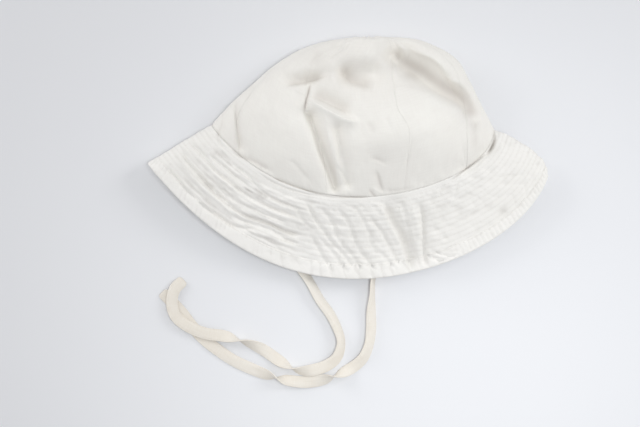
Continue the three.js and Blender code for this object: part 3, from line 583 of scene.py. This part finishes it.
def makeGore(name, node, first, second, front, sizes):
    # One gore between two seams, as a grid of angle by distance from the top. The outer face stands half a
    # wall out of the middle, dips along its seams and the brim seam, has a ridge beside the seam where the
    # allowance lies, and carries creases and two sizes of random wrinkles; the inner face follows the creases.
    wall = clothSizes["crownWall"]
    count = sizes["frontColumns"] if front else sizes["backColumns"]
    steps = sizes["steps"] if front else sizes["backSteps"]
    at = sizes["tip"] + (sizes["base"] - sizes["tip"]) * np.linspace(0, 1, steps)[:, None] ** sizes["crowding"]
    start = columnAt(seamRows, seamNames, first, at)
    end = columnAt(seamRows, seamNames, second, at) + (360 if second == "left" else 0)
    degrees = start + (end - start) * np.linspace(0, 1, count)[None, :]
    middle = clothPoint(crownRows, wall, degrees, at, clothSizes)
    normal = clothNormal(crownRows, wall, degrees, np.maximum(at, 0.03), clothSizes)
    step = np.linalg.norm(np.diff(middle, axis=1), axis=-1)
    along = np.concatenate([np.zeros((steps, 1)), np.cumsum(step, axis=1)], axis=1)
    fromFirst = along
    fromSecond = along[:, -1:] - along
    fromBase = (1 - at) * clothSizes["goreHigh"]
    u = along - along[:, -1:] / 2
    v = at * clothSizes["goreHigh"] + 0 * u
    seed = len(name)
    out = sizes["wrinkle"] * latticeNoise(u / sizes["wrinkleLong"] + 9, v / (sizes["wrinkleLong"] * 1.6) + 3, seed)
    out += sizes["fineWrinkle"] * latticeNoise(u / sizes["fineLong"] + 40, v / (sizes["fineLong"] * 1.5) + 7, seed + 50)
    edge = np.minimum(np.minimum(fromFirst, fromSecond), fromBase)
    out *= ease(edge, 0.3, 5) * ease(at, 0.02, 0.12)
    out -= sizes["seamDeep"] * np.exp(-((fromFirst / sizes["seamWide"]) ** 2))
    out -= sizes["seamDeep"] * np.exp(-((fromSecond / sizes["seamWide"]) ** 2))
    out -= sizes["baseDeep"] * np.exp(-((fromBase / sizes["seamWide"]) ** 2))
    out += sizes["ridgeHigh"] * np.exp(-(((fromFirst - sizes["ridgeAt"]) / sizes["ridgeWide"]) ** 2))
    gather = latticeNoise(u / sizes["gatherWide"], v / 9, seed + 90)
    out += sizes["gather"] * gather * np.exp(-(((fromBase - 3) / 4) ** 2)) * ease(edge, 0.2, 2)
    pleat = latticeNoise(degrees / sizes["pleatTurn"], v / 60, 17)
    out += sizes["pleat"] * pleat * ease(at, 0.03, 0.12) * (1 - ease(at, 0.2, 0.34)) * ease(edge, 0.2, 2)
    upper = upperShare(degrees) * ease(at, 0.03, 0.12)
    height, shadeAmount = creaseHeight(middle[..., 0], middle[..., 1])
    height = height * upper
    outer = middle + normal * (wall / 2 + out)[..., None]
    inner = middle - normal * (wall / 2)
    outer[..., 2] += height
    inner[..., 2] += height
    # painted shade along the grooves of the gore seams
    seamShade = sizes["seamShade"] * np.exp(-((np.minimum(fromFirst, fromSecond) / sizes["seamShadeWide"]) ** 2))
    piece = makeShell(name, outer, inner, u, v, np.maximum(shadeAmount * upper, seamShade), False)
    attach(piece, "root")
    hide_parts(node)
    return piece


crownPieces = [
    makeGore("frontGore", "crown_front", "frontLeft", "frontRight", True, crownSizes),
    makeGore("frontLeftGore", "crown_front_left", "left", "frontLeft", True, crownSizes),
    makeGore("frontRightGore", "crown_front_right", "frontRight", "right", True, crownSizes),
    makeGore("backRightGore", "crown_back_right", "right", "backRight", False, crownSizes),
    makeGore("backGore", "crown_back", "backRight", "backLeft", False, crownSizes),
    makeGore("backLeftGore", "crown_back_left", "backLeft", "left", False, crownSizes),
]
print("crown made,", sum(len(piece.data.polygons) for piece in crownPieces), "faces")


# Brim
brimSizes = {
    "steps": 84, "columns": 560, "end": 0.94, "thinFrom": 0.83, "thinTo": 0.86, "edgeWall": 1.2,
    "firstRow": 4.4, "rowPitch": 4.25, "rowCount": 13, "rowPuff": 0.36,
    "pucker": 1.15, "puckerPitch": 9.5, "puckerTurn": 57.0, "start": 0.0008,
    "plainFrom": 0.825, "plainTo": 0.845, "sunk": 0.2, "seamDip": 0.5, "innerPuff": 0.35,
    "stitchShade": 0.08, "hollowShade": 0.28,
    "bindingStart": 0.84, "bindingOut": 1.3, "bindingIn": 0.85, "leastWall": 0.15, "bindingColumns": 900,
    "bindingLip": 0.3, "bindingReach": 1.3, "ribHollowShade": 0.22, "hemStitch": 56.6,
    "ribPitch": 7.4, "narrowPitch": 3.1, "ribHigh": 1.2, "narrowHigh": 0.32, "hemGroove": 0.3,
}


def brimDegrees(count):
    # even turns, drawn together at the side folds, and closer at the front than at the back
    turn = np.linspace(-180, 180, count, endpoint=False)
    turn = turn - 16 * np.sin(np.radians(turn))
    return turn + 9 * np.sin(np.radians(2 * turn))


def aroundBrim(degrees):
    # distance round the brim from the front's middle, measured half way across it
    dense = np.linspace(-200, 200, 2401)
    line = clothPoint(brimRows, clothSizes["brimWall"], dense, np.full(dense.shape, 0.5), clothSizes)
    run = runAlong(line)
    return np.interp(degrees, dense, run) - np.interp(0, dense, run)


def rowPlace(u, v):
    # place among the stitched rows: whole numbers on a stitch line; the rows wander a little
    sizes = brimSizes
    wander = 0.1 * latticeNoise(u / 24 + 3, v / 14 + 60, 5)
    return (v - sizes["firstRow"]) / sizes["rowPitch"] + wander


def brimStretches(u):
    # how far a place belongs to the front, the left and the right of the brim, each from 0 to 1
    front = np.exp(-(((u - 6) / 52) ** 4))
    left = np.exp(-(((u + 86) / 44) ** 4))
    right = ease(u, 45, 75) * ease(-u, -190, -150)
    return front, left, right


def brimPuckers(u, v):
    # puckers that slant across the rows: sharp valleys between round ridges, stronger in places
    sizes = brimSizes
    front, _, right = brimStretches(u)
    turn = math.radians(sizes["puckerTurn"])
    slant = (u * math.sin(turn) - v * math.cos(turn)) / sizes["puckerPitch"]
    slant = slant + 0.5 * latticeNoise(u / 16 + 20, v / 11 + 4, 8) + 0.16 * latticeNoise(u / 5, v / 4.2, 9)
    ridge = np.abs(np.sin(math.pi * slant)) ** 0.55 - 0.7
    patch = 0.5 + 0.5 * latticeNoise(u / 13 + 11, v / 8 + 31, 12)
    return sizes["pucker"] * ridge * patch * (0.1 + 0.6 * front + 0.35 * right)


def brimRelief(u, v):
    # Rows of padding between stitch lines, puckers across them, and long waves along them.
    # A row is the 0.6th power of a half sine.
    sizes = brimSizes
    row = rowPlace(u, v)
    front, left, right = brimStretches(u)
    plain = 3.6 + 5.5 * left
    quilted = ease(v, plain, plain + 1.8) * (1 - ease(v, 54, 55.6))
    depth = (0.75 + 0.5 * latticeNoise(u / 15 + 5, row * 0.9 + 2, 14)) * (1 - 0.45 * right)
    relief = sizes["rowPuff"] * depth * np.abs(np.sin(math.pi * row)) ** 0.6 * quilted
    relief += brimPuckers(u, v) * ease(v, 2.5, 9)
    waves = latticeNoise(u / 22 + 7, v / 4.6 + 15, 21) + 0.45 * latticeNoise(u / 9 + 2, v / 3.1 + 9, 22)
    relief += (0.18 + 0.75 * left) * waves * ease(v, plain, plain + 4) * (1 - ease(v, 52, 56))
    relief += (0.16 + 0.16 * left + 0.14 * front) * latticeNoise(u / 2.6, v / 2.2, 25) * quilted
    relief += 0.5 * left * latticeNoise(u / 6.5 + 3, v / 1.7 + 8, 31) * quilted
    relief += (0.25 + 0.3 * right) * latticeNoise(u / 7, v / 5.5, 27) * ease(v, 2, 6)
    return relief


def makeBrim(sizes):
    # One ring, as a grid of distance across by angle. The outer face carries the quilting and the creases,
    # the inner face the creases and a third of the quilting; it thins before it goes into its binding.
    wall = clothSizes["brimWall"]
    at = sizes["start"] + (sizes["end"] - sizes["start"]) * np.linspace(0, 1, sizes["steps"])[:, None]
    degrees = np.broadcast_to(brimDegrees(sizes["columns"])[None, :], (sizes["steps"], sizes["columns"]))
    middle = clothPoint(brimRows, wall, degrees, at, clothSizes)
    normal = clothNormal(brimRows, wall, degrees, at, clothSizes)
    u = np.broadcast_to(aroundBrim(degrees[0])[None, :], degrees.shape)
    v = at * clothSizes["brimWide"] + 0 * u
    thin = ease(at, sizes["thinFrom"], sizes["thinTo"])
    half = (wall + (sizes["edgeWall"] - wall) * thin) / 2
    shown = 1 - ease(at, sizes["plainFrom"], sizes["plainTo"])
    out = (brimRelief(u, v) - sizes["sunk"]) * shown
    out = out - sizes["seamDip"] * np.exp(-((v / 0.8) ** 2))
    upper = upperShare(degrees)
    height, shadeAmount = creaseHeight(middle[..., 0], middle[..., 1])
    height = height * upper
    outer = middle + normal * (half + out)[..., None]
    inner = middle - normal * (half + sizes["innerPuff"] * np.maximum(out, 0) * (upper > 0.5))[..., None]
    outer[..., 2] += height
    inner[..., 2] += height
    # painted shade along the stitched lines and in the quilting's sunken hollows
    stitched = (1 - np.abs(np.sin(math.pi * rowPlace(u, v))) ** 0.5) * ease(v, 3.6, 5.2) * shown
    hollow = ease(-out, 0.1, 1.3) * ease(v, 2, 6) * shown
    shadeAmount = np.maximum(shadeAmount * upper, sizes["stitchShade"] * stitched + sizes["hollowShade"] * hollow)
    piece = makeShell("quiltedBrim", outer, inner, u, v, shadeAmount, True)
    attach(piece, "root")
    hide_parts("brim")
    return piece


def edgePoint(degrees, at, out):
    # a point at a distance out of the brim's middle; past the edge it goes on square to it
    wall = clothSizes["brimWall"]
    inside = np.minimum(at, 1)
    point = clothPoint(brimRows, wall, degrees, inside, clothSizes)
    normal = clothNormal(brimRows, wall, degrees, inside, clothSizes)
    turn = clothSizes["normalTurn"]
    high = clothPoint(brimRows, wall, degrees + turn, np.ones_like(degrees), clothSizes)
    low = clothPoint(brimRows, wall, degrees - turn, np.ones_like(degrees), clothSizes)
    beyond = unit(np.cross(high - low, normal))
    point = point + beyond * (np.maximum(at - 1, 0) * clothSizes["brimWide"])[..., None]
    point = point + normal * np.asarray(out)[..., None]
    # the creases' height and their painted shade
    height, shadeAmount = creaseHeight(point[..., 0], point[..., 1])
    upper = upperShare(degrees)
    point[..., 2] += height * upper
    return point, shadeAmount * upper


def bindingSwell(u, v):
    # ribs across the band, wide ones at the front and narrow ones elsewhere, each the power of a half sine;
    # the brim's puckers go on over them, and a groove is pressed in where the stitches run; the outer face
    # always keeps the least wall above the inner one
    sizes = brimSizes
    front = np.exp(-(((u - 6) / 60) ** 4))
    wander = 0.35 * latticeNoise(u / 15 + 2, v / 30, 41)
    wide = np.sin(math.pi * ((u * 0.9 - v * 0.44) / sizes["ribPitch"] + wander))
    narrow = np.sin(math.pi * ((u * 0.94 - v * 0.34) / sizes["narrowPitch"] + wander))
    ribs = front * (np.abs(wide) ** 0.6 - 0.7)
    ribs = ribs + sizes["narrowHigh"] * (1 - front) * (np.abs(narrow) ** 0.8 - 0.6)
    ribs = ribs * (0.75 + 0.4 * latticeNoise(u / 17, v / 20 + 4, 43))
    groove = np.exp(-(((v - sizes["hemStitch"]) / 0.7) ** 2))
    swell = (sizes["ribHigh"] * ribs + 0.8 * brimPuckers(u, v) + 0.25 * latticeNoise(u / 5, v / 4, 44)
             - sizes["hemGroove"] * groove)
    return np.maximum(swell, sizes["bindingIn"] + sizes["leastWall"] - sizes["bindingOut"])


def makeBinding(sizes):
    # A folded band: its section goes out over the brim, in a half circle round the edge and back underneath,
    # then returns inside. Slanting ribs and a stitched groove shape its outer side.
    outerHalf, innerHalf = sizes["bindingOut"], sizes["bindingIn"]
    bend = np.linspace(math.pi / 2, -math.pi / 2, 9)
    run = np.linspace(sizes["bindingStart"] + 0.004, 0.994, 14)
    reach = sizes["bindingReach"] / clothSizes["brimWide"]
    top = [(a, outerHalf, 1) for a in run]
    top[0] = (sizes["bindingStart"], outerHalf - sizes["bindingLip"], 1)
    roundTip = [(1 + reach * math.cos(b), outerHalf * math.sin(b), 1) for b in bend]
    under = [(a, -outerHalf, 1) for a in run[::-1]]
    under[-1] = (sizes["bindingStart"], -outerHalf + sizes["bindingLip"], 1)
    inside = [(a, -innerHalf, 0) for a in (sizes["bindingStart"], 0.92, 1 + 0.3 * reach)]
    inside += [(a, innerHalf, 0) for a in (1 + 0.3 * reach, 0.92, sizes["bindingStart"])]
    profile = np.array(top + roundTip + under + inside)
    turn = brimDegrees(sizes["bindingColumns"])
    degrees = np.broadcast_to(turn[None, :], (len(profile), len(turn)))
    at = np.broadcast_to(profile[:, :1], degrees.shape)
    u = np.broadcast_to(aroundBrim(turn)[None, :], degrees.shape)
    v = at * clothSizes["brimWide"]
    outside = profile[:, 2:] * np.sign(profile[:, 1:2])
    swell = bindingSwell(u, v)
    out = profile[:, 1:2] + swell * outside * (np.abs(profile[:, 1:2]) > innerHalf)
    points, shadeAmount = edgePoint(degrees, at, out)
    count, columns = degrees.shape
    points = points.reshape(-1, 3)
    points[:, 2] = np.maximum(points[:, 2], clothSizes["tableGap"])
    faces = gridFaces(count, columns, 0, True, False)
    j = np.arange(columns)
    k = (j + 1) % columns
    last = (count - 1) * columns
    faces = np.vstack([faces, np.stack([last + j, j, k, last + k], axis=1)]).tolist()
    uv = np.stack([u + v, u - v], axis=-1).reshape(-1, 2) * 0.707
    # painted shade where the band sinks, between the ribs and in the stitched groove
    shadeAmount = shadeAmount + sizes["ribHollowShade"] * ease(-swell, 0, 0.6) * profile[:, 2:]
    piece = makeObject("brimBinding", points, faces, uv, shadeAmount.ravel())
    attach(piece, "root")
    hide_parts("brim_binding")
    return piece


brimPieces = [makeBrim(brimSizes), makeBinding(brimSizes)]
print("brim made,", sum(len(piece.data.polygons) for piece in brimPieces), "faces")


# Stitches
stitchSizes = {"long": 2.2, "pitch": 3.1, "thick": 0.26, "sides": 6, "shownTo": 112, "sunk": 0.05, "turn": 0.4}


def makeStitches(name, centres, aheads, ups, sizes):
    # One small spindle per stitch: rings of radius thick/2 that shrink at both ends, sunk into the cloth there
    rings = np.array([(-0.5, 0.25, -0.3), (-0.3, 1, 0.02), (0, 1.1, 0.1), (0.3, 1, 0.02), (0.5, 0.25, -0.3)])
    angle = np.linspace(0, 2 * math.pi, sizes["sides"], endpoint=False)
    sides = unit(np.cross(aheads, ups))
    across = rings[:, 1:2] * np.cos(angle) * sizes["thick"] / 2
    over = rings[:, 1:2] * np.sin(angle) * sizes["thick"] / 2 + rings[:, 2:3]
    along = np.broadcast_to(rings[:, :1] * sizes["long"], across.shape)
    points = (centres[:, None, None, :] + along[None, :, :, None] * aheads[:, None, None, :]
              + across[None, :, :, None] * sides[:, None, None, :] + over[None, :, :, None] * ups[:, None, None, :])
    each = len(rings) * sizes["sides"]
    one = gridFaces(len(rings), sizes["sides"], 0, True, False).tolist()
    one.append(list(range(sizes["sides"])))
    one.append(list(range(each - 1, each - 1 - sizes["sides"], -1)))
    faces = [[each * n + k for k in face] for n in range(len(centres)) for face in one]
    return makeObject(name, points.reshape(-1, 3), faces)


def rowStitches(v, low, high, outAt):
    # stitches of one row round the brim between two angles, on the face of the cloth
    dense = np.linspace(low, high, 1600)
    at = np.full(dense.shape, v / clothSizes["brimWide"])
    line = clothPoint(brimRows, clothSizes["brimWall"], dense, at, clothSizes)
    run = runAlong(line)
    degrees = np.interp(np.arange(1, run[-1] - 1, stitchSizes["pitch"]), run, dense)
    degrees = degrees[np.cos(np.radians(degrees)) > -0.35]
    at = np.full(degrees.shape, v / clothSizes["brimWide"])
    centre, _ = edgePoint(degrees, at, outAt(degrees, at))
    turn = stitchSizes["turn"]
    ahead, _ = edgePoint(degrees + turn, at, outAt(degrees + turn, at))
    behind, _ = edgePoint(degrees - turn, at, outAt(degrees - turn, at))
    return centre, unit(ahead - behind), clothNormal(brimRows, clothSizes["brimWall"], degrees, at, clothSizes)


def brimFace(degrees, at):
    # the brim's outer face, out of its middle
    u = aroundBrim(degrees)
    return clothSizes["brimWall"] / 2 + brimRelief(u, at * clothSizes["brimWide"]) - brimSizes["sunk"]


def bindingFace(degrees, at):
    # just under the band's outer face, out of the brim's middle
    swell = bindingSwell(aroundBrim(degrees), at * clothSizes["brimWide"])
    return brimSizes["bindingOut"] - stitchSizes["sunk"] + swell


stitchSets = []
for rowNumber in range(brimSizes["rowCount"] - 1):
    rowV = brimSizes["firstRow"] + rowNumber * brimSizes["rowPitch"]
    stitchSets.append(rowStitches(rowV, -stitchSizes["shownTo"], stitchSizes["shownTo"], brimFace))
stitchSets.append(rowStitches(brimSizes["hemStitch"], -180, 180, bindingFace))
brimThread = makeStitches("brimStitches", *[np.concatenate(part) for part in zip(*stitchSets)], stitchSizes)
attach(brimThread, "root")
print("stitches made,", len(brimThread.data.polygons), "faces")


# Materials
def toLinear(colour):
    # an sRGB hex value as linear red, green, blue and alpha 1
    parts = [int(colour[k:k + 2], 16) / 255 for k in (1, 3, 5)]
    return [c / 12.92 if c <= 0.04045 else ((c + 0.055) / 1.055) ** 2.4 for c in parts] + [1]


def addNode(tree, kind, settings=None, inputs=None):
    # one node with its settings; an input is a value or the socket that feeds it
    node = tree.nodes.new(kind)
    for key, value in (settings or {}).items():
        setattr(node, key, value)
    for key, value in (inputs or {}).items():
        if isinstance(value, bpy.types.NodeSocket):
            tree.links.new(value, node.inputs[key])
        else:
            node.inputs[key].default_value = value
    return node


def blankMaterial(name):
    # a material with an empty node tree
    material = bpy.data.materials.new(name)
    material.use_nodes = True
    material.node_tree.nodes.clear()
    return material, material.node_tree


# Plain-weave cotton: about 20 threads to the centimetre, too fine to show here, so it is drawn at 1.1 mm.
# Slubs, thicker stretches of yarn 8 to 15 mm long, show as faint streaks along both threads.
waveLength = 0.314159  # a wave texture at scale 1 repeats every 0.314 m
# per cloth, a greyed and a browned colour of painted shade for creases; the brown only in the deepest
cottonLooks = {
    "crown": {"colour": "#f5f3ed", "shade": "#f0ede7", "paintedShade": "#cfc9c2", "paintedDeepShade": "#b59a70",
              "thread": 0.0011, "weave": 0.03, "slub": 0.05, "rough": 0.92},
    "brim": {"colour": "#f7f5f1", "shade": "#f2f0eb", "paintedShade": "#cdc9c3", "paintedDeepShade": "#b59a70",
             "thread": 0.0011, "weave": 0.03, "slub": 0.05, "rough": 0.92},
    "tape": {"colour": "#f2ede4", "shade": "#ece5d9", "thread": 0.0012, "weave": 0.08, "slub": 0.08, "rough": 0.9},
}


def cottonMaterial(name, look, creased):
    # colour: two close shades mixed by streaks and clouds, then painted shade, greyed and then browned as the crease
    # attribute grows;
    # bump: threads crossing at right angles, then streaks; matt, with a faint nap
    material, tree = blankMaterial(name)
    place = addNode(tree, "ShaderNodeUVMap", {"uv_map": "clothMap"}).outputs["UV"]
    scale = waveLength / look["thread"]
    warp = addNode(tree, "ShaderNodeTexWave", {"bands_direction": "X"}, {"Vector": place, "Scale": scale})
    weft = addNode(tree, "ShaderNodeTexWave", {"bands_direction": "Y"}, {"Vector": place, "Scale": scale})
    weave = addNode(tree, "ShaderNodeMath", {"operation": "MULTIPLY"},
                    {0: warp.outputs["Fac"], 1: weft.outputs["Fac"]})
    longWarp = addNode(tree, "ShaderNodeMapping", {}, {"Vector": place, "Scale": (900, 90, 1)})
    longWeft = addNode(tree, "ShaderNodeMapping", {}, {"Vector": place, "Scale": (90, 900, 1)})
    streakA = addNode(tree, "ShaderNodeTexNoise", {}, {"Vector": longWarp.outputs["Vector"], "Scale": 1, "Detail": 2})
    streakB = addNode(tree, "ShaderNodeTexNoise", {}, {"Vector": longWeft.outputs["Vector"], "Scale": 1, "Detail": 2})
    streaks = addNode(tree, "ShaderNodeMath", {"operation": "ADD"},
                      {0: streakA.outputs["Fac"], 1: streakB.outputs["Fac"]})
    body = addNode(tree, "ShaderNodeTexCoord").outputs["Object"]
    cloud = addNode(tree, "ShaderNodeTexNoise", {}, {"Vector": body, "Scale": 22, "Detail": 3})
    spread = addNode(tree, "ShaderNodeMath", {"operation": "MULTIPLY_ADD"},
                     {0: streaks.outputs[0], 1: 0.5, 2: cloud.outputs["Fac"]})
    share = addNode(tree, "ShaderNodeMapRange", {}, {"Value": spread.outputs[0], "From Min": 0.75, "From Max": 1.25})
    plain = addNode(tree, "ShaderNodeMix", {"data_type": "RGBA"},
                    {"Factor": share.outputs["Result"], 6: toLinear(look["colour"]), 7: toLinear(look["shade"])})
    colour = plain.outputs[2]
    if creased:
        # painted shade: the cloth greys, then browns in the deepest creases, as the crease attribute grows
        crease = addNode(tree, "ShaderNodeAttribute", {"attribute_name": "paintedCreaseShade"})
        for low, tone in ((0, "paintedShade"), (0.5, "paintedDeepShade")):
            part = addNode(tree, "ShaderNodeMapRange", {},
                           {"Value": crease.outputs["Fac"], "From Min": low, "From Max": low + 0.5})
            mixed = addNode(tree, "ShaderNodeMix", {"data_type": "RGBA"},
                            {"Factor": part.outputs["Result"], 6: colour, 7: toLinear(look[tone])})
            colour = mixed.outputs[2]
    fine = addNode(tree, "ShaderNodeBump", {}, {"Strength": look["weave"] * 4, "Distance": 0.0002,
                                                "Height": weave.outputs[0]})
    bump = addNode(tree, "ShaderNodeBump", {}, {"Strength": look["slub"] * 3, "Distance": 0.0004,
                                                "Height": streaks.outputs[0], "Normal": fine.outputs["Normal"]})
    shader = addNode(tree, "ShaderNodeBsdfPrincipled", {}, {
        "Base Color": colour, "Roughness": look["rough"], "Specular IOR Level": 0.25,
        "Sheen Weight": 0.12, "Sheen Roughness": 0.5, "Normal": bump.outputs["Normal"]})
    output = addNode(tree, "ShaderNodeOutputMaterial")
    tree.links.new(shader.outputs["BSDF"], output.inputs["Surface"])
    return material


def threadMaterial(name, colour):
    # spun thread: two plies wound round each other show as slanting bands about 0.5 mm apart
    material, tree = blankMaterial(name)
    body = addNode(tree, "ShaderNodeTexCoord").outputs["Object"]
    plies = addNode(tree, "ShaderNodeTexWave", {"bands_direction": "DIAGONAL"},
                    {"Vector": body, "Scale": waveLength / 0.0006, "Distortion": 1.5})
    bump = addNode(tree, "ShaderNodeBump", {}, {"Strength": 0.4, "Distance": 0.0001, "Height": plies.outputs["Fac"]})
    shader = addNode(tree, "ShaderNodeBsdfPrincipled", {}, {
        "Base Color": toLinear(colour), "Roughness": 0.75, "Sheen Weight": 0.1, "Normal": bump.outputs["Normal"]})
    output = addNode(tree, "ShaderNodeOutputMaterial")
    tree.links.new(shader.outputs["BSDF"], output.inputs["Surface"])
    return material


crownCotton = cottonMaterial("plainWeaveCotton", cottonLooks["crown"], True)
brimCotton = cottonMaterial("quiltedCotton", cottonLooks["brim"], True)
bindingCotton = cottonMaterial("biasCutCotton", cottonLooks["brim"], True)
tapeCotton = cottonMaterial("foldedCottonTape", cottonLooks["tape"], False)
spunThread = threadMaterial("spunThread", "#ece9e3")
for piece in crownPieces:
    piece.data.materials.append(crownCotton)
brimPieces[0].data.materials.append(brimCotton)
brimPieces[1].data.materials.append(bindingCotton)
brimThread.data.materials.append(spunThread)
for tiePiece in tiePieces.values():
    tiePiece.data.materials.append(tapeCotton)
print("materials assigned")


# Floor and light
roomLooks = {"floor": "#eff0f2", "floorShade": "#ecedf0", "floorHalf": 3.0, "sky": "#fbfbfd", "skyStrength": 0.51}
# Each light: watts, width in metres, place and aim in metres; a cone in degrees makes it a spot with a soft edge
lights = {
    "spotAbove": {"watts": 55.0, "wide": 0.45, "place": (0.3, -0.12, 1.8), "aim": (0.1, -0.18, 0), "cone": 28.5,
                  "colour": "#fafdff"},
    "windowRight": {"watts": 5.0, "wide": 0.6, "place": (1.2, 0.5, 0.8), "aim": (0, 0, 0), "cone": 0,
                    "colour": "#ffffff"},
    "fillLeft": {"watts": 4.4, "wide": 0.7, "place": (-1.0, 0.6, 0.45), "aim": (0, 0, 0), "cone": 0,
                 "colour": "#ffffff"},
}


def makeFloor(look):
    # a plain painted board under everything
    half = look["floorHalf"] * 1000
    corners = [(-half, -half, 0), (half, -half, 0), (half, half, 0), (-half, half, 0)]
    floor = makeObject("floor", np.array(corners) - hatShift, [[0, 1, 2, 3]])
    material, tree = blankMaterial("paintedBoard")
    body = addNode(tree, "ShaderNodeTexCoord").outputs["Object"]
    cloud = addNode(tree, "ShaderNodeTexNoise", {}, {"Vector": body, "Scale": 6, "Detail": 2})
    shade = addNode(tree, "ShaderNodeMix", {"data_type": "RGBA"},
                    {"Factor": cloud.outputs["Fac"], 6: toLinear(look["floor"]), 7: toLinear(look["floorShade"])})
    shader = addNode(tree, "ShaderNodeBsdfPrincipled", {}, {
        "Base Color": shade.outputs[2], "Roughness": 0.8, "Specular IOR Level": 0.2})
    output = addNode(tree, "ShaderNodeOutputMaterial")
    tree.links.new(shader.outputs["BSDF"], output.inputs["Surface"])
    floor.data.materials.append(material)


def makeLight(name, look):
    # a square soft light or a wide-edged spot, turned so that it faces what it is aimed at
    data = bpy.data.lights.new(name, "SPOT" if look["cone"] else "AREA")
    if look["cone"]:
        data.spot_size = math.radians(look["cone"])
        data.spot_blend = 1
        data.shadow_soft_size = look["wide"] / 2
    else:
        data.shape = "SQUARE"
        data.size = look["wide"]
    data.energy = look["watts"]
    data.color = toLinear(look["colour"])[:3]
    lamp = bpy.data.objects.new(name, data)
    lamp.location = look["place"]
    ray = Vector(look["aim"]) - Vector(look["place"])
    lamp.rotation_euler = ray.to_track_quat("-Z", "Y").to_euler()
    lamp.visible_camera = False
    bpy.context.scene.collection.objects.link(lamp)


def makeSky(look):
    # an even pale sky all round
    world = bpy.data.worlds.new("sky")
    world.use_nodes = True
    background = world.node_tree.nodes["Background"]
    background.inputs["Color"].default_value = toLinear(look["sky"])
    background.inputs["Strength"].default_value = look["skyStrength"]
    bpy.context.scene.world = world
    bpy.context.scene.view_settings.view_transform = "Standard"


makeFloor(roomLooks)
makeSky(roomLooks)
for lightName, lightLook in lights.items():
    makeLight(lightName, lightLook)
print("room lit")
